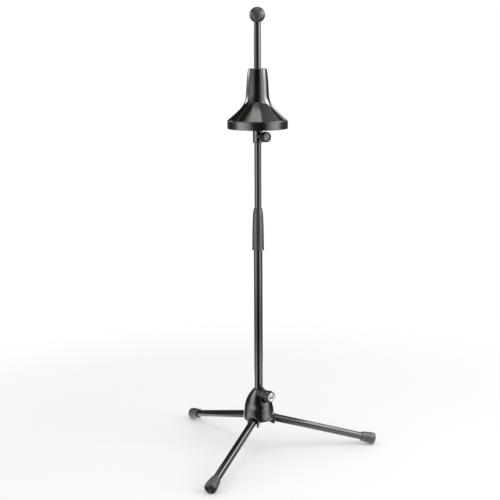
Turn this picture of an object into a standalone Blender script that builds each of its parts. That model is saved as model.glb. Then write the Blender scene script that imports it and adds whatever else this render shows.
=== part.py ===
"""Bass trombone stand: a folding tripod, a telescoping post and a bell cone.

Units are metres and +Z is up. The floor is z = 0 and the origin lies on it,
under the centre of the stand's bounding box. Leg 1 points to -Y, legs 2 and 3
lie 120 degrees from it on either side.
"""
import math

import bmesh
import bpy
from mathutils import Matrix, Vector

MM = 0.001

# Clearances
GAP = 0.3 * MM
PIN_CLEARANCE = 0.25 * MM
SLOT_CLEARANCE = 0.5 * MM
FLANGE_CLEARANCE = 0.4 * MM

# Tripod
LEG_SLOPE = math.radians(15.5)
LEG_LENGTH = 271.6 * MM
LEG_RADIUS = 9.2 * MM
LEG_WALL = 1.2 * MM
LEG_COUNT = 3
FIRST_LEG_AZIMUTH = math.radians(-90.0)
PIN_REACH = 27.0 * MM
PIN_RADIUS = 2.5 * MM
HEEL_REACH = 20.0 * MM
HEEL_HALF_HEIGHT = 4.2 * MM
HEEL_HALF_WIDTH = 6.0 * MM
KNUCKLE_RADIUS = 9.0 * MM
TUBE_START = 3.5 * MM
HEEL_SPIGOT_LENGTH = 25.0 * MM

# Rubber boots
FOOT_LENGTH = 36.0 * MM
FOOT_RADIUS = 14.4 * MM
FOOT_MOUTH_RADIUS = 11.7 * MM
FOOT_NECK_LENGTH = 7.0 * MM
FOOT_ROUNDING = 6.0 * MM
FOOT_SOLE = 9.0 * MM
FOOT_FLAT = 0.4 * MM

# Socket that carries the legs and the post
SOCKET_RADIUS = 37.3 * MM
SOCKET_WALL = 3.2 * MM
DOME_HEIGHT = 68.0 * MM
DOME_CURVE = 2.5
SKIRT_ABOVE_PIN = 2.3 * MM
LIP_DROP = 5.0 * MM
NECK_RADIUS = 13.9 * MM
NECK_LENGTH = 13.5 * MM
EAR_THICKNESS = 4.5 * MM
EAR_ROOF = 6.0 * MM
EAR_DROP = 14.2 * MM
EAR_REACH = 37.8 * MM
EAR_FOOT = 4.0 * MM
EAR_INNER_REACH = 18.0 * MM
EAR_INNER_DROP = 5.5 * MM
EAR_SLOT_HEADROOM = 16.0 * MM
SKIRT_RELIEF = 0.5 * MM
BUSH_WALL = 1.55 * MM
BUSH_LIP = 1.6 * MM
BUSH_LIP_OVERHANG = 0.8 * MM
BUSH_SLIT = 1.6 * MM

# Locking knob on the socket
LOCK_AZIMUTH = math.radians(-30.0)
LOCK_BOSS_RADIUS = 12.0 * MM
LOCK_BOSS_REACH = 37.0 * MM
LOCK_BOSS_START = 16.5 * MM
LOCK_BELOW_TOP = 8.5 * MM
LOCK_SCREW_RADIUS = 4.0 * MM
LOCK_PAD_THICKNESS = 2.0 * MM
LOCK_INSERT_LENGTH = 14.0 * MM
LOCK_INSERT_WALL = 2.0 * MM
LOCK_KNOB_RADIUS = 15.0 * MM
LOCK_KNOB_FACE_RADIUS = 13.4 * MM
LOCK_KNOB_THICKNESS = 10.0 * MM
LOCK_KNOB_FLUTES = 12
LOCK_KNOB_FLUTE_DEPTH = 1.2 * MM
LOCK_KNOB_EDGE = 0.8 * MM
LOCK_SCREW_COVER = 1.0 * MM
LOCK_CAP_RADIUS = 10.8 * MM
LOCK_CAP_HEIGHT = 3.6 * MM
LOCK_CAP_RECESS = 1.8 * MM

# Post
TUBE_RADIUS = 10.15 * MM
TUBE_WALL = 1.2 * MM
TUBE_LENGTH = 451.8 * MM
SPREADER_RADIUS = 14.0 * MM
SPREADER_THICKNESS = 6.0 * MM
SPREADER_SPIGOT_LENGTH = 18.0 * MM
ROD_RADIUS = 7.95 * MM
ROD_WALL = 1.2 * MM
ROD_LENGTH = 571.8 * MM
ROD_INSERTION = 83.0 * MM
GUIDE_HEAD_LENGTH = 14.0 * MM
GUIDE_SPIGOT_LENGTH = 16.0 * MM
BALL_RADIUS = 18.0 * MM
BALL_CENTRE_BELOW_ROD_TOP = 2.0 * MM

# Twist clutch
SLEEVE_ABOVE_TUBE = 44.3 * MM
SLEEVE_BELOW_TUBE = 54.5 * MM
SLEEVE_TOP_RADIUS = 9.2 * MM
SLEEVE_SHOULDER_RADIUS = 11.9 * MM
SLEEVE_BODY_RADIUS = 13.3 * MM
SLEEVE_BOTTOM_RADIUS = 13.8 * MM
SLEEVE_LIP_RADIUS = 14.2 * MM
SLEEVE_LIP_HEIGHT = 3.0 * MM
SLEEVE_LIP_BEVEL = 1.5 * MM
SLEEVE_NOSE_DROP = 1.2 * MM
SLEEVE_NOSE_WIDTH = 0.9 * MM
SLEEVE_NECK_DROP = 6.5 * MM
SLEEVE_SHOULDER_DROP = 14.0 * MM
SLEEVE_WAIST_ABOVE_TUBE = 11.7 * MM
SLEEVE_GRIP_BELOW_TUBE = 7.2 * MM
SLEEVE_THREAD_RUNOUT = 2.5 * MM
SLEEVE_WALL = 1.8 * MM
FERRULE_RADIUS = 11.0 * MM
FERRULE_ABOVE_TUBE = 17.5 * MM
FERRULE_BELOW_TUBE = 24.0 * MM
FERRULE_SEAT_RADIUS = 10.1 * MM
FERRULE_SEAT_DEPTH = 11.5 * MM
COLLET_BELOW_SEAT = 5.5 * MM
COLLET_ABOVE_SEAT = 15.2 * MM
COLLET_SLIT = 1.2 * MM
COLLET_LEAD = 0.3 * MM
CLUTCH_ROD_CLEARANCE = 0.4 * MM

# Bell cone
CONE_RIM_BELOW_BALL = 256.2 * MM
CONE_HEIGHT = 136.0 * MM
CONE_RADIUS = 70.0 * MM
CONE_BAND_HEIGHT = 18.5 * MM
CONE_LEDGE = 1.8 * MM
CONE_LEDGE_RISE = 1.6 * MM
CONE_TOP_RADIUS = 21.5 * MM
CONE_WALL = 2.4 * MM
FLARE_TOP_HANDLE = (11.4 * MM, 75.9 * MM)
FLARE_RIM_HANDLE = (56.5 * MM, 46.2 * MM)
SPIDER_ABOVE_RIM = 8.0 * MM
SPIDER_THICKNESS = 4.0 * MM
SPIDER_RING_WIDTH = 3.0 * MM
SPIDER_HUB_RADIUS = 17.0 * MM
SPIDER_ARM_WIDTH = 4.0 * MM
SPIDER_ARMS = 6
TOP_BUSH_WALL = 3.5 * MM
TOP_BUSH_TAPER = 1.5 * MM
TOP_BUSH_LENGTH = 9.0 * MM
TOP_BUSH_FLANGE = 3.0 * MM
TOP_BUSH_FLANGE_HEIGHT = 2.0 * MM

# Clamp sleeve that carries the cone on the rod
CLAMP_RADIUS = 11.15 * MM
CLAMP_WALL = 1.9 * MM
CLAMP_BELOW_RIM = 32.0 * MM
CLAMP_FLANGE_RADIUS = 15.5 * MM
CLAMP_FLANGE_THICKNESS = 3.0 * MM
CIRCLIP_RADIUS = 14.0 * MM
CIRCLIP_THICKNESS = 1.2 * MM
CIRCLIP_GAP = 6.0 * MM
LINER_WALL = 0.7 * MM
LINER_LENGTH = 38.0 * MM
LINER_FLANGE = 1.4 * MM
LINER_LIP = 1.0 * MM
CLAMP_AZIMUTH = math.radians(-30.0)
CLAMP_SCREW_HEIGHT = 14.2 * MM
CLAMP_BOSS_RADIUS = 7.6 * MM
CLAMP_BOSS_REACH = 22.0 * MM
CLAMP_SCREW_RADIUS = 3.0 * MM
CLAMP_PAD_THICKNESS = 1.6 * MM
CLAMP_INSERT_LENGTH = 8.5 * MM
CLAMP_INSERT_WALL = 1.6 * MM
CLAMP_KNOB_RADIUS = 12.2 * MM
CLAMP_KNOB_THICKNESS = 13.7 * MM
CLAMP_KNOB_FLUTES = 18
CLAMP_KNOB_FLUTE_DEPTH = 0.35 * MM
CLAMP_KNOB_EDGE = 0.9 * MM
CLAMP_SCREW_COVER = 1.5 * MM
CLAMP_CAP_RADIUS = 7.8 * MM
CLAMP_CAP_HEIGHT = 2.0 * MM
CLAMP_CAP_RECESS = 3.5 * MM

# Facets round a circle, and the distance under which cut edges are merged
FINE_STEPS = 48
TUBE_STEPS = 24
SMALL_STEPS = 16
WELD_DISTANCE = 0.01 * MM

# Heights that follow from the sizes above
FOOT_CORNER_S = LEG_LENGTH - FOOT_ROUNDING
FOOT_CORNER_R = FOOT_RADIUS - FOOT_ROUNDING
PIN_Z = (FOOT_CORNER_S * math.sin(LEG_SLOPE) + FOOT_CORNER_R * math.cos(LEG_SLOPE)
         + FOOT_ROUNDING - FOOT_FLAT)
SKIRT_Z = PIN_Z + SKIRT_ABOVE_PIN
SOCKET_TOP_Z = SKIRT_Z + DOME_HEIGHT
LOCK_Z = SOCKET_TOP_Z - LOCK_BELOW_TOP
HEEL_TOP_Z = PIN_Z + HEEL_REACH * math.sin(LEG_SLOPE) + HEEL_HALF_HEIGHT * math.cos(LEG_SLOPE)
SPREADER_Z = HEEL_TOP_Z + FLANGE_CLEARANCE
TUBE_BOTTOM_Z = SPREADER_Z + SPREADER_THICKNESS + GAP
TUBE_TOP_Z = TUBE_BOTTOM_Z + TUBE_LENGTH
ROD_BOTTOM_Z = TUBE_TOP_Z - ROD_INSERTION
ROD_TOP_Z = ROD_BOTTOM_Z + ROD_LENGTH
BALL_Z = ROD_TOP_Z - BALL_CENTRE_BELOW_ROD_TOP
CONE_RIM_Z = BALL_Z - CONE_RIM_BELOW_BALL
CONE_TOP_Z = CONE_RIM_Z + CONE_HEIGHT
CLAMP_BOTTOM_Z = CONE_RIM_Z - CLAMP_BELOW_RIM
CLAMP_Z = CLAMP_BOTTOM_Z + CLAMP_SCREW_HEIGHT

# Radii that follow from what fits inside what
BUSH_BORE = TUBE_RADIUS + GAP
BUSH_RADIUS = BUSH_BORE + BUSH_WALL
SOCKET_BORE = BUSH_RADIUS + GAP
LINER_BORE = ROD_RADIUS + GAP
LINER_RADIUS = LINER_BORE + LINER_WALL
CLAMP_BORE = CLAMP_RADIUS - CLAMP_WALL
SLOT_HALF_WIDTH = LEG_RADIUS + SLOT_CLEARANCE

OBJECT_NAME = "bass_trombone_stand"


def clear_scene():
    for old in list(bpy.data.objects):
        bpy.data.objects.remove(old, do_unlink=True)


def new_collection(name):
    collection = bpy.data.collections.new(name)
    bpy.context.scene.collection.children.link(collection)
    return collection


def look(name, colour, roughness, metallic=0.0):
    material = bpy.data.materials.new(name)
    material.use_nodes = True
    shader = material.node_tree.nodes["Principled BSDF"]
    shader.inputs["Base Color"].default_value = (*colour, 1.0)
    shader.inputs["Roughness"].default_value = roughness
    shader.inputs["Metallic"].default_value = metallic
    return material


def arc(centre_r, centre_z, radius, start, end, steps):
    """Points on a circle in the (r, z) plane, angles in degrees from +r."""
    points = []
    for i in range(steps + 1):
        angle = math.radians(start + (end - start) * i / steps)
        points.append((centre_r + radius * math.cos(angle), centre_z + radius * math.sin(angle)))
    return points


def empty(name, parent=None, matrix=Matrix.Identity(4)):
    axis = bpy.data.objects.new(name, None)
    axis.empty_display_size = 0.02
    PARTS.objects.link(axis)
    axis.parent = parent
    axis.matrix_local = matrix
    return axis


def add_object(name, mesh, material, parent, cutter=False):
    thing = bpy.data.objects.new(name, mesh)
    thing.parent = parent
    if cutter:
        CUTTERS.objects.link(thing)
        thing.hide_render = True
        thing.display_type = "WIRE"
    else:
        PARTS.objects.link(thing)
        mesh.materials.append(material)
    return thing


def turned(name, profile, material, parent, steps=TUBE_STEPS, closed=False, cutter=False):
    """A profile of (r, z) points turned about local Z; outer side listed top to bottom."""
    mesh = bpy.data.meshes.new(name)
    count = len(profile)
    edges = [(i, i + 1) for i in range(count - 1)]
    if closed:
        edges.append((count - 1, 0))
    mesh.from_pydata([(r, 0.0, z) for r, z in profile], edges, [])
    thing = add_object(name, mesh, material, parent, cutter)
    screw = thing.modifiers.new("turn", "SCREW")
    screw.steps = steps
    screw.render_steps = steps
    screw.use_merge_vertices = True
    screw.merge_threshold = 0.000005
    screw.use_smooth_shade = True
    return thing


def pipe(name, outer, inner, bottom, top, material, parent, steps=TUBE_STEPS):
    profile = [(outer, top), (outer, bottom), (inner, bottom), (inner, top)]
    return turned(name, profile, material, parent, steps, closed=True)


def rod(name, radius, bottom, top, material, parent, steps=SMALL_STEPS, cutter=False):
    mesh = bpy.data.meshes.new(name)
    shape = bmesh.new()
    bmesh.ops.create_cone(shape, cap_ends=True, segments=steps, radius1=radius,
                          radius2=radius, depth=top - bottom)
    bmesh.ops.translate(shape, verts=shape.verts, vec=(0.0, 0.0, (top + bottom) / 2))
    shape.to_mesh(mesh)
    shape.free()
    return add_object(name, mesh, material, parent, cutter)


def block(name, low, high, material, parent, cutter=False):
    mesh = bpy.data.meshes.new(name)
    shape = bmesh.new()
    bmesh.ops.create_cube(shape, size=1.0)
    low, high = Vector(low), Vector(high)
    bmesh.ops.scale(shape, verts=shape.verts, vec=high - low)
    bmesh.ops.translate(shape, verts=shape.verts, vec=(high + low) / 2)
    shape.to_mesh(mesh)
    shape.free()
    return add_object(name, mesh, material, parent, cutter)


def prism(name, outline, low, high, material, parent, cutter=False, taper=1.0):
    """A flat outline of (x, y) points raised along local Z from low to high, scaled by taper there."""
    mesh = bpy.data.meshes.new(name)
    shape = bmesh.new()
    base = shape.faces.new([shape.verts.new((x, y, low)) for x, y in outline])
    raised = bmesh.ops.extrude_face_region(shape, geom=[base])["geom"]
    far_end = [v for v in raised if isinstance(v, bmesh.types.BMVert)]
    bmesh.ops.translate(shape, verts=far_end, vec=(0.0, 0.0, high - low))
    bmesh.ops.scale(shape, verts=far_end, vec=(taper, taper, 1.0))
    bmesh.ops.recalc_face_normals(shape, faces=shape.faces)
    shape.to_mesh(mesh)
    shape.free()
    return add_object(name, mesh, material, parent, cutter)


def combine(thing, other, operation, solver):
    step = thing.modifiers.new(other.name, "BOOLEAN")
    step.operation = operation
    step.solver = solver
    step.object = other


def cut(thing, *others, solver="EXACT"):
    for other in others:
        combine(thing, other, "DIFFERENCE", solver)


def join(thing, *others, solver="EXACT"):
    for other in others:
        combine(thing, other, "UNION", solver)


def chamfer(thing, width, angle=40.0):
    bevel = thing.modifiers.new("chamfer", "BEVEL")
    bevel.width = width
    bevel.segments = 1
    bevel.limit_method = "ANGLE"
    bevel.angle_limit = math.radians(angle)


def weld(thing):
    """Close up the slivers that crossing surfaces leave along their edges."""
    step = thing.modifiers.new("weld", "WELD")
    step.merge_threshold = WELD_DISTANCE


def leg_axis(index):
    """Local Z runs down the leg from its pin, X is the leg's upper side."""
    azimuth = FIRST_LEG_AZIMUTH + index * 2 * math.pi / LEG_COUNT
    outward = Vector((math.cos(azimuth), math.sin(azimuth), 0.0))
    up = Vector((0.0, 0.0, 1.0))
    along = math.cos(LEG_SLOPE) * outward - math.sin(LEG_SLOPE) * up
    normal = math.sin(LEG_SLOPE) * outward + math.cos(LEG_SLOPE) * up
    side = along.cross(normal)
    matrix = Matrix((normal, side, along)).transposed().to_4x4()
    matrix.translation = PIN_REACH * outward + PIN_Z * up
    return matrix


def slot_axis(index):
    """Local Z runs level outward over the leg, X points up, from the pole at pin height."""
    azimuth = FIRST_LEG_AZIMUTH + index * 2 * math.pi / LEG_COUNT
    outward = Vector((math.cos(azimuth), math.sin(azimuth), 0.0))
    up = Vector((0.0, 0.0, 1.0))
    matrix = Matrix((up, outward.cross(up), outward)).transposed().to_4x4()
    matrix.translation = PIN_Z * up
    return matrix


def screw_axis(azimuth, height):
    """Local Z runs level outward from the pole, X points up."""
    outward = Vector((math.cos(azimuth), math.sin(azimuth), 0.0))
    up = Vector((0.0, 0.0, 1.0))
    matrix = Matrix((up, outward.cross(up), outward)).transposed().to_4x4()
    matrix.translation = height * up
    return matrix


def dome_radius(height):
    """The dome narrows by a power of its height above the skirt line: R * (1 - (h / rise) ** n)."""
    rise = DOME_HEIGHT / (1 - NECK_RADIUS / SOCKET_RADIUS) ** (1 / DOME_CURVE)
    return SOCKET_RADIUS * (1 - (height / rise) ** DOME_CURVE)


def arch(half_width, crown, foot, steps):
    """A slot outline in (up, side): a half circle on two straight sides."""
    centre = crown - half_width
    points = [(foot, -half_width)]
    for i in range(steps + 1):
        angle = math.pi * i / steps
        points.append((centre + half_width * math.sin(angle), -half_width * math.cos(angle)))
    points.append((foot, half_width))
    return points


def slot_crown():
    """The slot's roof above the pin: the leg's top at the skirt's inner face, plus clearance."""
    inner_face = SOCKET_RADIUS - SOCKET_WALL
    drop = (inner_face - PIN_REACH) * math.tan(LEG_SLOPE)
    return LEG_RADIUS / math.cos(LEG_SLOPE) - drop + SLOT_CLEARANCE


def make_socket(root):
    ceiling = DOME_HEIGHT - NECK_LENGTH
    outer = [(dome_radius(DOME_HEIGHT * t), SKIRT_Z + DOME_HEIGHT * t)
             for t in (1.0, 0.96, 0.9, 0.82, 0.71, 0.58, 0.42, 0.22, 0.0)]
    lip_steps = 3
    lip = []
    for i in range(1, lip_steps + 1):
        angle = math.pi / 2 * i / lip_steps
        lip.append((SOCKET_RADIUS - 0.9 * SOCKET_WALL * (1 - math.cos(angle)),
                    SKIRT_Z - LIP_DROP * math.sin(angle)))
    inner = [(SOCKET_RADIUS - SOCKET_WALL, SKIRT_Z - LIP_DROP)]
    inner += [(dome_radius(ceiling * t) - SOCKET_WALL, SKIRT_Z + ceiling * t)
              for t in (0.0, 0.38, 0.7, 1.0)]
    bore = [(SOCKET_BORE, SKIRT_Z + ceiling), (SOCKET_BORE, SOCKET_TOP_Z)]
    socket = turned("base_socket", outer + lip + inner + bore, GLOSS_BLACK, root,
                    FINE_STEPS, closed=True)

    lock = empty("lock_axis_for_cuts", root, screw_axis(LOCK_AZIMUTH, LOCK_Z))
    boss_edge = 1.0 * MM
    boss_profile = [(0.0, LOCK_BOSS_REACH), (LOCK_BOSS_RADIUS - boss_edge, LOCK_BOSS_REACH),
                    (LOCK_BOSS_RADIUS, LOCK_BOSS_REACH - boss_edge),
                    (LOCK_BOSS_RADIUS, LOCK_BOSS_START), (0.0, LOCK_BOSS_START)]
    join(socket, turned("boss_form", boss_profile, None, lock, TUBE_STEPS, cutter=True))

    crown = slot_crown()
    ear_half_width = SLOT_HALF_WIDTH + EAR_THICKNESS
    hall_half_width = SLOT_HALF_WIDTH + SLOT_CLEARANCE
    hall_start = EAR_INNER_REACH - SLOT_HALF_WIDTH
    hall_end = SOCKET_RADIUS - SOCKET_WALL + SKIRT_RELIEF
    passage = EAR_REACH + SLOT_HALF_WIDTH
    below = -EAR_DROP - LEG_RADIUS
    skirt_inside = SOCKET_RADIUS - SOCKET_WALL
    shave_rise = math.atan2(EAR_DROP - EAR_INNER_DROP, EAR_REACH - EAR_FOOT - EAR_INNER_REACH)
    cuts = []
    for index in range(LEG_COUNT):
        axis = empty(f"slot_axis_{index + 1}", root, slot_axis(index))
        ears = prism(f"ears_form_{index + 1}", arch(ear_half_width, crown + EAR_ROOF,
                     -EAR_DROP, 12), EAR_INNER_REACH, EAR_REACH, None, axis, cutter=True)
        join(socket, ears, solver="MANIFOLD")
        mouth = prism(f"slot_form_{index + 1}", arch(SLOT_HALF_WIDTH, crown, below, 12),
                      skirt_inside - SOCKET_WALL, passage, None, axis, cutter=True)
        hall = block(f"hall_form_{index + 1}", (2 * below, -hall_half_width, hall_start),
                     (EAR_SLOT_HEADROOM, hall_half_width, hall_end), None, axis, cutter=True)
        shave = block(f"shave_form_{index + 1}",
                      (-2 * EAR_DROP, -2 * ear_half_width, -2 * EAR_REACH),
                      (0.0, 2 * ear_half_width, 2 * EAR_REACH), None, axis, cutter=True)
        shave.matrix_local = (Matrix.Translation((-EAR_DROP, 0.0, EAR_REACH - EAR_FOOT))
                              @ Matrix.Rotation(-shave_rise, 4, "Y"))
        hole_half_length = ear_half_width + SLOT_CLEARANCE
        pin_hole = rod(f"pin_hole_{index + 1}", PIN_RADIUS + PIN_CLEARANCE,
                       -hole_half_length, hole_half_length, None, axis, cutter=True)
        pin_hole.matrix_local = (Matrix.Translation((0.0, 0.0, PIN_REACH))
                                 @ Matrix.Rotation(math.pi / 2, 4, "X"))
        cut(ears, shave)
        join(hall, mouth, pin_hole)
        cuts.append(hall)
    cut(socket, *cuts, solver="MANIFOLD")

    screw_bore = LOCK_SCREW_RADIUS + GAP
    insert_bore = screw_bore + LOCK_INSERT_WALL + GAP
    reach = LOCK_BOSS_REACH + LOCK_SCREW_RADIUS
    cut(socket, rod("lock_bore", screw_bore, BUSH_BORE, reach, None, lock, cutter=True),
        rod("lock_counterbore", insert_bore, LOCK_BOSS_REACH - LOCK_INSERT_LENGTH - GAP,
            reach, None, lock, cutter=True), solver="MANIFOLD")
    weld(socket)


def make_socket_fittings(root):
    bush_bottom = SOCKET_TOP_Z - NECK_LENGTH
    lip_bottom = SOCKET_TOP_Z + GAP
    lip_top = lip_bottom + BUSH_LIP
    lip_radius = BUSH_RADIUS + BUSH_LIP_OVERHANG
    edge = 0.4 * MM
    bush = turned("socket_bush", [
        (BUSH_BORE + edge, lip_top), (lip_radius - edge, lip_top), (lip_radius, lip_top - edge),
        (lip_radius, lip_bottom), (BUSH_RADIUS, lip_bottom), (BUSH_RADIUS, bush_bottom),
        (BUSH_BORE, bush_bottom), (BUSH_BORE, lip_top - edge)],
        NYLON, root, TUBE_STEPS, closed=True)
    slit = block("bush_slit_form", (-2 * BUSH_RADIUS, -BUSH_SLIT / 2, bush_bottom - BUSH_LIP),
                 (0.0, BUSH_SLIT / 2, lip_top + BUSH_LIP), None, root, cutter=True)
    slit.rotation_euler.z = LOCK_AZIMUTH
    cut(bush, slit)

    lock = empty("lock_axis", root, screw_axis(LOCK_AZIMUTH, LOCK_Z))
    pad_start = BUSH_RADIUS + GAP
    pad_end = pad_start + LOCK_PAD_THICKNESS
    rod("lock_pad", LOCK_SCREW_RADIUS, pad_start, pad_end, BRASS, lock)
    insert_top = LOCK_BOSS_REACH - GAP
    insert_bore = LOCK_SCREW_RADIUS + GAP
    pipe("lock_insert", insert_bore + LOCK_INSERT_WALL, insert_bore,
         LOCK_BOSS_REACH - LOCK_INSERT_LENGTH, insert_top, BRASS, lock, SMALL_STEPS)

    knob_back = LOCK_BOSS_REACH + GAP
    knob_face = knob_back + LOCK_KNOB_THICKNESS
    cap_seat = knob_face - LOCK_CAP_RECESS
    screw_end = cap_seat - 2 * GAP - LOCK_SCREW_COVER
    rod("lock_screw", LOCK_SCREW_RADIUS, pad_end + GAP, screw_end, STEEL, lock)
    knob = prism("lock_knob", fluted(LOCK_KNOB_RADIUS, LOCK_KNOB_FLUTE_DEPTH,
                 LOCK_KNOB_FLUTES, 4), knob_back, knob_face, BLACK_PLASTIC, lock,
                 taper=LOCK_KNOB_FACE_RADIUS / LOCK_KNOB_RADIUS)
    chamfer(knob, LOCK_KNOB_EDGE, 50.0)
    cut(knob, rod("lock_knob_bore", LOCK_SCREW_RADIUS + GAP, knob_back - LOCK_KNOB_THICKNESS,
                  screw_end + GAP, None, lock, cutter=True),
        rod("lock_cap_recess", LOCK_CAP_RADIUS + GAP, cap_seat, knob_face + LOCK_KNOB_THICKNESS,
            None, lock, TUBE_STEPS, cutter=True))
    cap_bottom = cap_seat + GAP
    turned("lock_knob_cap", dished_cap(LOCK_CAP_RADIUS, cap_bottom, LOCK_CAP_HEIGHT),
           CHROME, lock)


def fluted(radius, depth, flutes, points_per_flute):
    """A round outline whose radius dips between lobes: R - depth * (1 - cos(n a)) / 2."""
    outline = []
    count = flutes * points_per_flute
    for i in range(count):
        angle = 2 * math.pi * i / count
        r = radius - depth * (1 - math.cos(flutes * angle)) / 2
        outline.append((r * math.cos(angle), r * math.sin(angle)))
    return outline


def dished_cap(radius, bottom, height):
    """A round cap with a rolled edge and a shallow dish in its face."""
    top = bottom + height
    edge = 0.35 * height
    return [(0.0, top - 0.3 * edge), (0.45 * radius, top - 0.15 * edge),
            (0.6 * radius, top), (0.85 * radius, top - 0.15 * edge),
            (0.96 * radius, top - 0.6 * edge), (radius, top - 1.4 * edge),
            (radius, bottom), (0.0, bottom)]


def make_leg(root, index):
    name = f"leg_{index + 1}"
    axis = empty(f"{name}_axis", root, leg_axis(index))
    boot_start = LEG_LENGTH - FOOT_LENGTH
    tube_end = LEG_LENGTH - FOOT_SOLE - GAP
    pipe(f"{name}_tube", LEG_RADIUS, LEG_RADIUS - LEG_WALL, TUBE_START, tube_end,
         GLOSS_STEEL, axis)

    spigot_radius = LEG_RADIUS - LEG_WALL - GAP
    shoulder = TUBE_START - GAP
    shoulder_angle = math.degrees(math.asin(shoulder / KNUCKLE_RADIUS))
    knuckle = turned(f"{name}_heel", [
        (0.0, TUBE_START + HEEL_SPIGOT_LENGTH), (spigot_radius, TUBE_START + HEEL_SPIGOT_LENGTH),
        (spigot_radius, shoulder)]
        + arc(0.0, 0.0, KNUCKLE_RADIUS, shoulder_angle, -90.0, 7), NYLON, axis, TUBE_STEPS)
    bar = block(f"{name}_bar_form", (-HEEL_HALF_HEIGHT, -HEEL_HALF_WIDTH, -HEEL_REACH),
                (HEEL_HALF_HEIGHT, HEEL_HALF_WIDTH, 0.0), None, axis, cutter=True)
    join(knuckle, bar)
    bore = rod(f"{name}_bore_form", PIN_RADIUS + PIN_CLEARANCE, -LEG_RADIUS, LEG_RADIUS,
               None, axis, cutter=True)
    bore.matrix_local = Matrix.Rotation(math.pi / 2, 4, "X")
    cut(knuckle, bore)
    weld(knuckle)

    pin = rod(f"{name}_pin", PIN_RADIUS, -(SLOT_HALF_WIDTH + EAR_THICKNESS - GAP),
              SLOT_HALF_WIDTH + EAR_THICKNESS - GAP, STEEL, axis)
    pin.matrix_local = Matrix.Rotation(math.pi / 2, 4, "X")

    bore_radius = LEG_RADIUS + GAP
    floor_of_bore = LEG_LENGTH - FOOT_SOLE
    neck_end = boot_start + FOOT_NECK_LENGTH
    corner = arc(FOOT_CORNER_R, FOOT_CORNER_S, FOOT_ROUNDING, 90.0, 10.0, 5)
    widest = LEG_LENGTH - 2 * FOOT_ROUNDING
    boot = turned(f"{name}_foot", [(0.0, LEG_LENGTH)] + corner + [
        (FOOT_RADIUS, widest),
        (FOOT_MOUTH_RADIUS + 0.25 * (FOOT_RADIUS - FOOT_MOUTH_RADIUS), neck_end),
        (FOOT_MOUTH_RADIUS, boot_start), (bore_radius, boot_start),
        (bore_radius, floor_of_bore), (0.0, floor_of_bore)], RUBBER, axis, TUBE_STEPS)
    cut(boot, FLOOR)


def make_post(root):
    spigot = TUBE_RADIUS - TUBE_WALL - GAP
    flange_top = SPREADER_Z + SPREADER_THICKNESS
    edge = 1.0 * MM
    turned("spreader", [
        (0.0, flange_top + SPREADER_SPIGOT_LENGTH),
        (spigot - edge, flange_top + SPREADER_SPIGOT_LENGTH),
        (spigot, flange_top + SPREADER_SPIGOT_LENGTH - edge), (spigot, flange_top),
        (SPREADER_RADIUS - edge, flange_top), (SPREADER_RADIUS, flange_top - edge),
        (SPREADER_RADIUS, SPREADER_Z), (0.0, SPREADER_Z)], NYLON, root)
    pipe("lower_tube", TUBE_RADIUS, TUBE_RADIUS - TUBE_WALL, TUBE_BOTTOM_Z, TUBE_TOP_Z,
         GLOSS_STEEL, root)

    guide_top = ROD_BOTTOM_Z - GAP
    guide_bottom = guide_top - GUIDE_HEAD_LENGTH
    guide_radius = TUBE_RADIUS - TUBE_WALL - GAP
    guide_spigot = ROD_RADIUS - ROD_WALL - GAP
    turned("rod_guide", [
        (0.0, guide_top + GUIDE_SPIGOT_LENGTH), (guide_spigot, guide_top + GUIDE_SPIGOT_LENGTH),
        (guide_spigot, guide_top), (guide_radius, guide_top),
        (guide_radius, guide_bottom + edge), (guide_radius - edge, guide_bottom),
        (0.0, guide_bottom)], NYLON, root)
    pipe("upper_rod", ROD_RADIUS, ROD_RADIUS - ROD_WALL, ROD_BOTTOM_Z, ROD_TOP_Z,
         GLOSS_STEEL, root)

    ball_bore = ROD_RADIUS + GAP
    mouth_angle = -90.0 + math.degrees(math.asin(ball_bore / BALL_RADIUS))
    turned("ball_tip", arc(0.0, BALL_Z, BALL_RADIUS, 90.0, mouth_angle, 14)
           + [(ball_bore, ROD_TOP_Z + GAP), (0.0, ROD_TOP_Z + GAP)], RUBBER, root)


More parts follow.
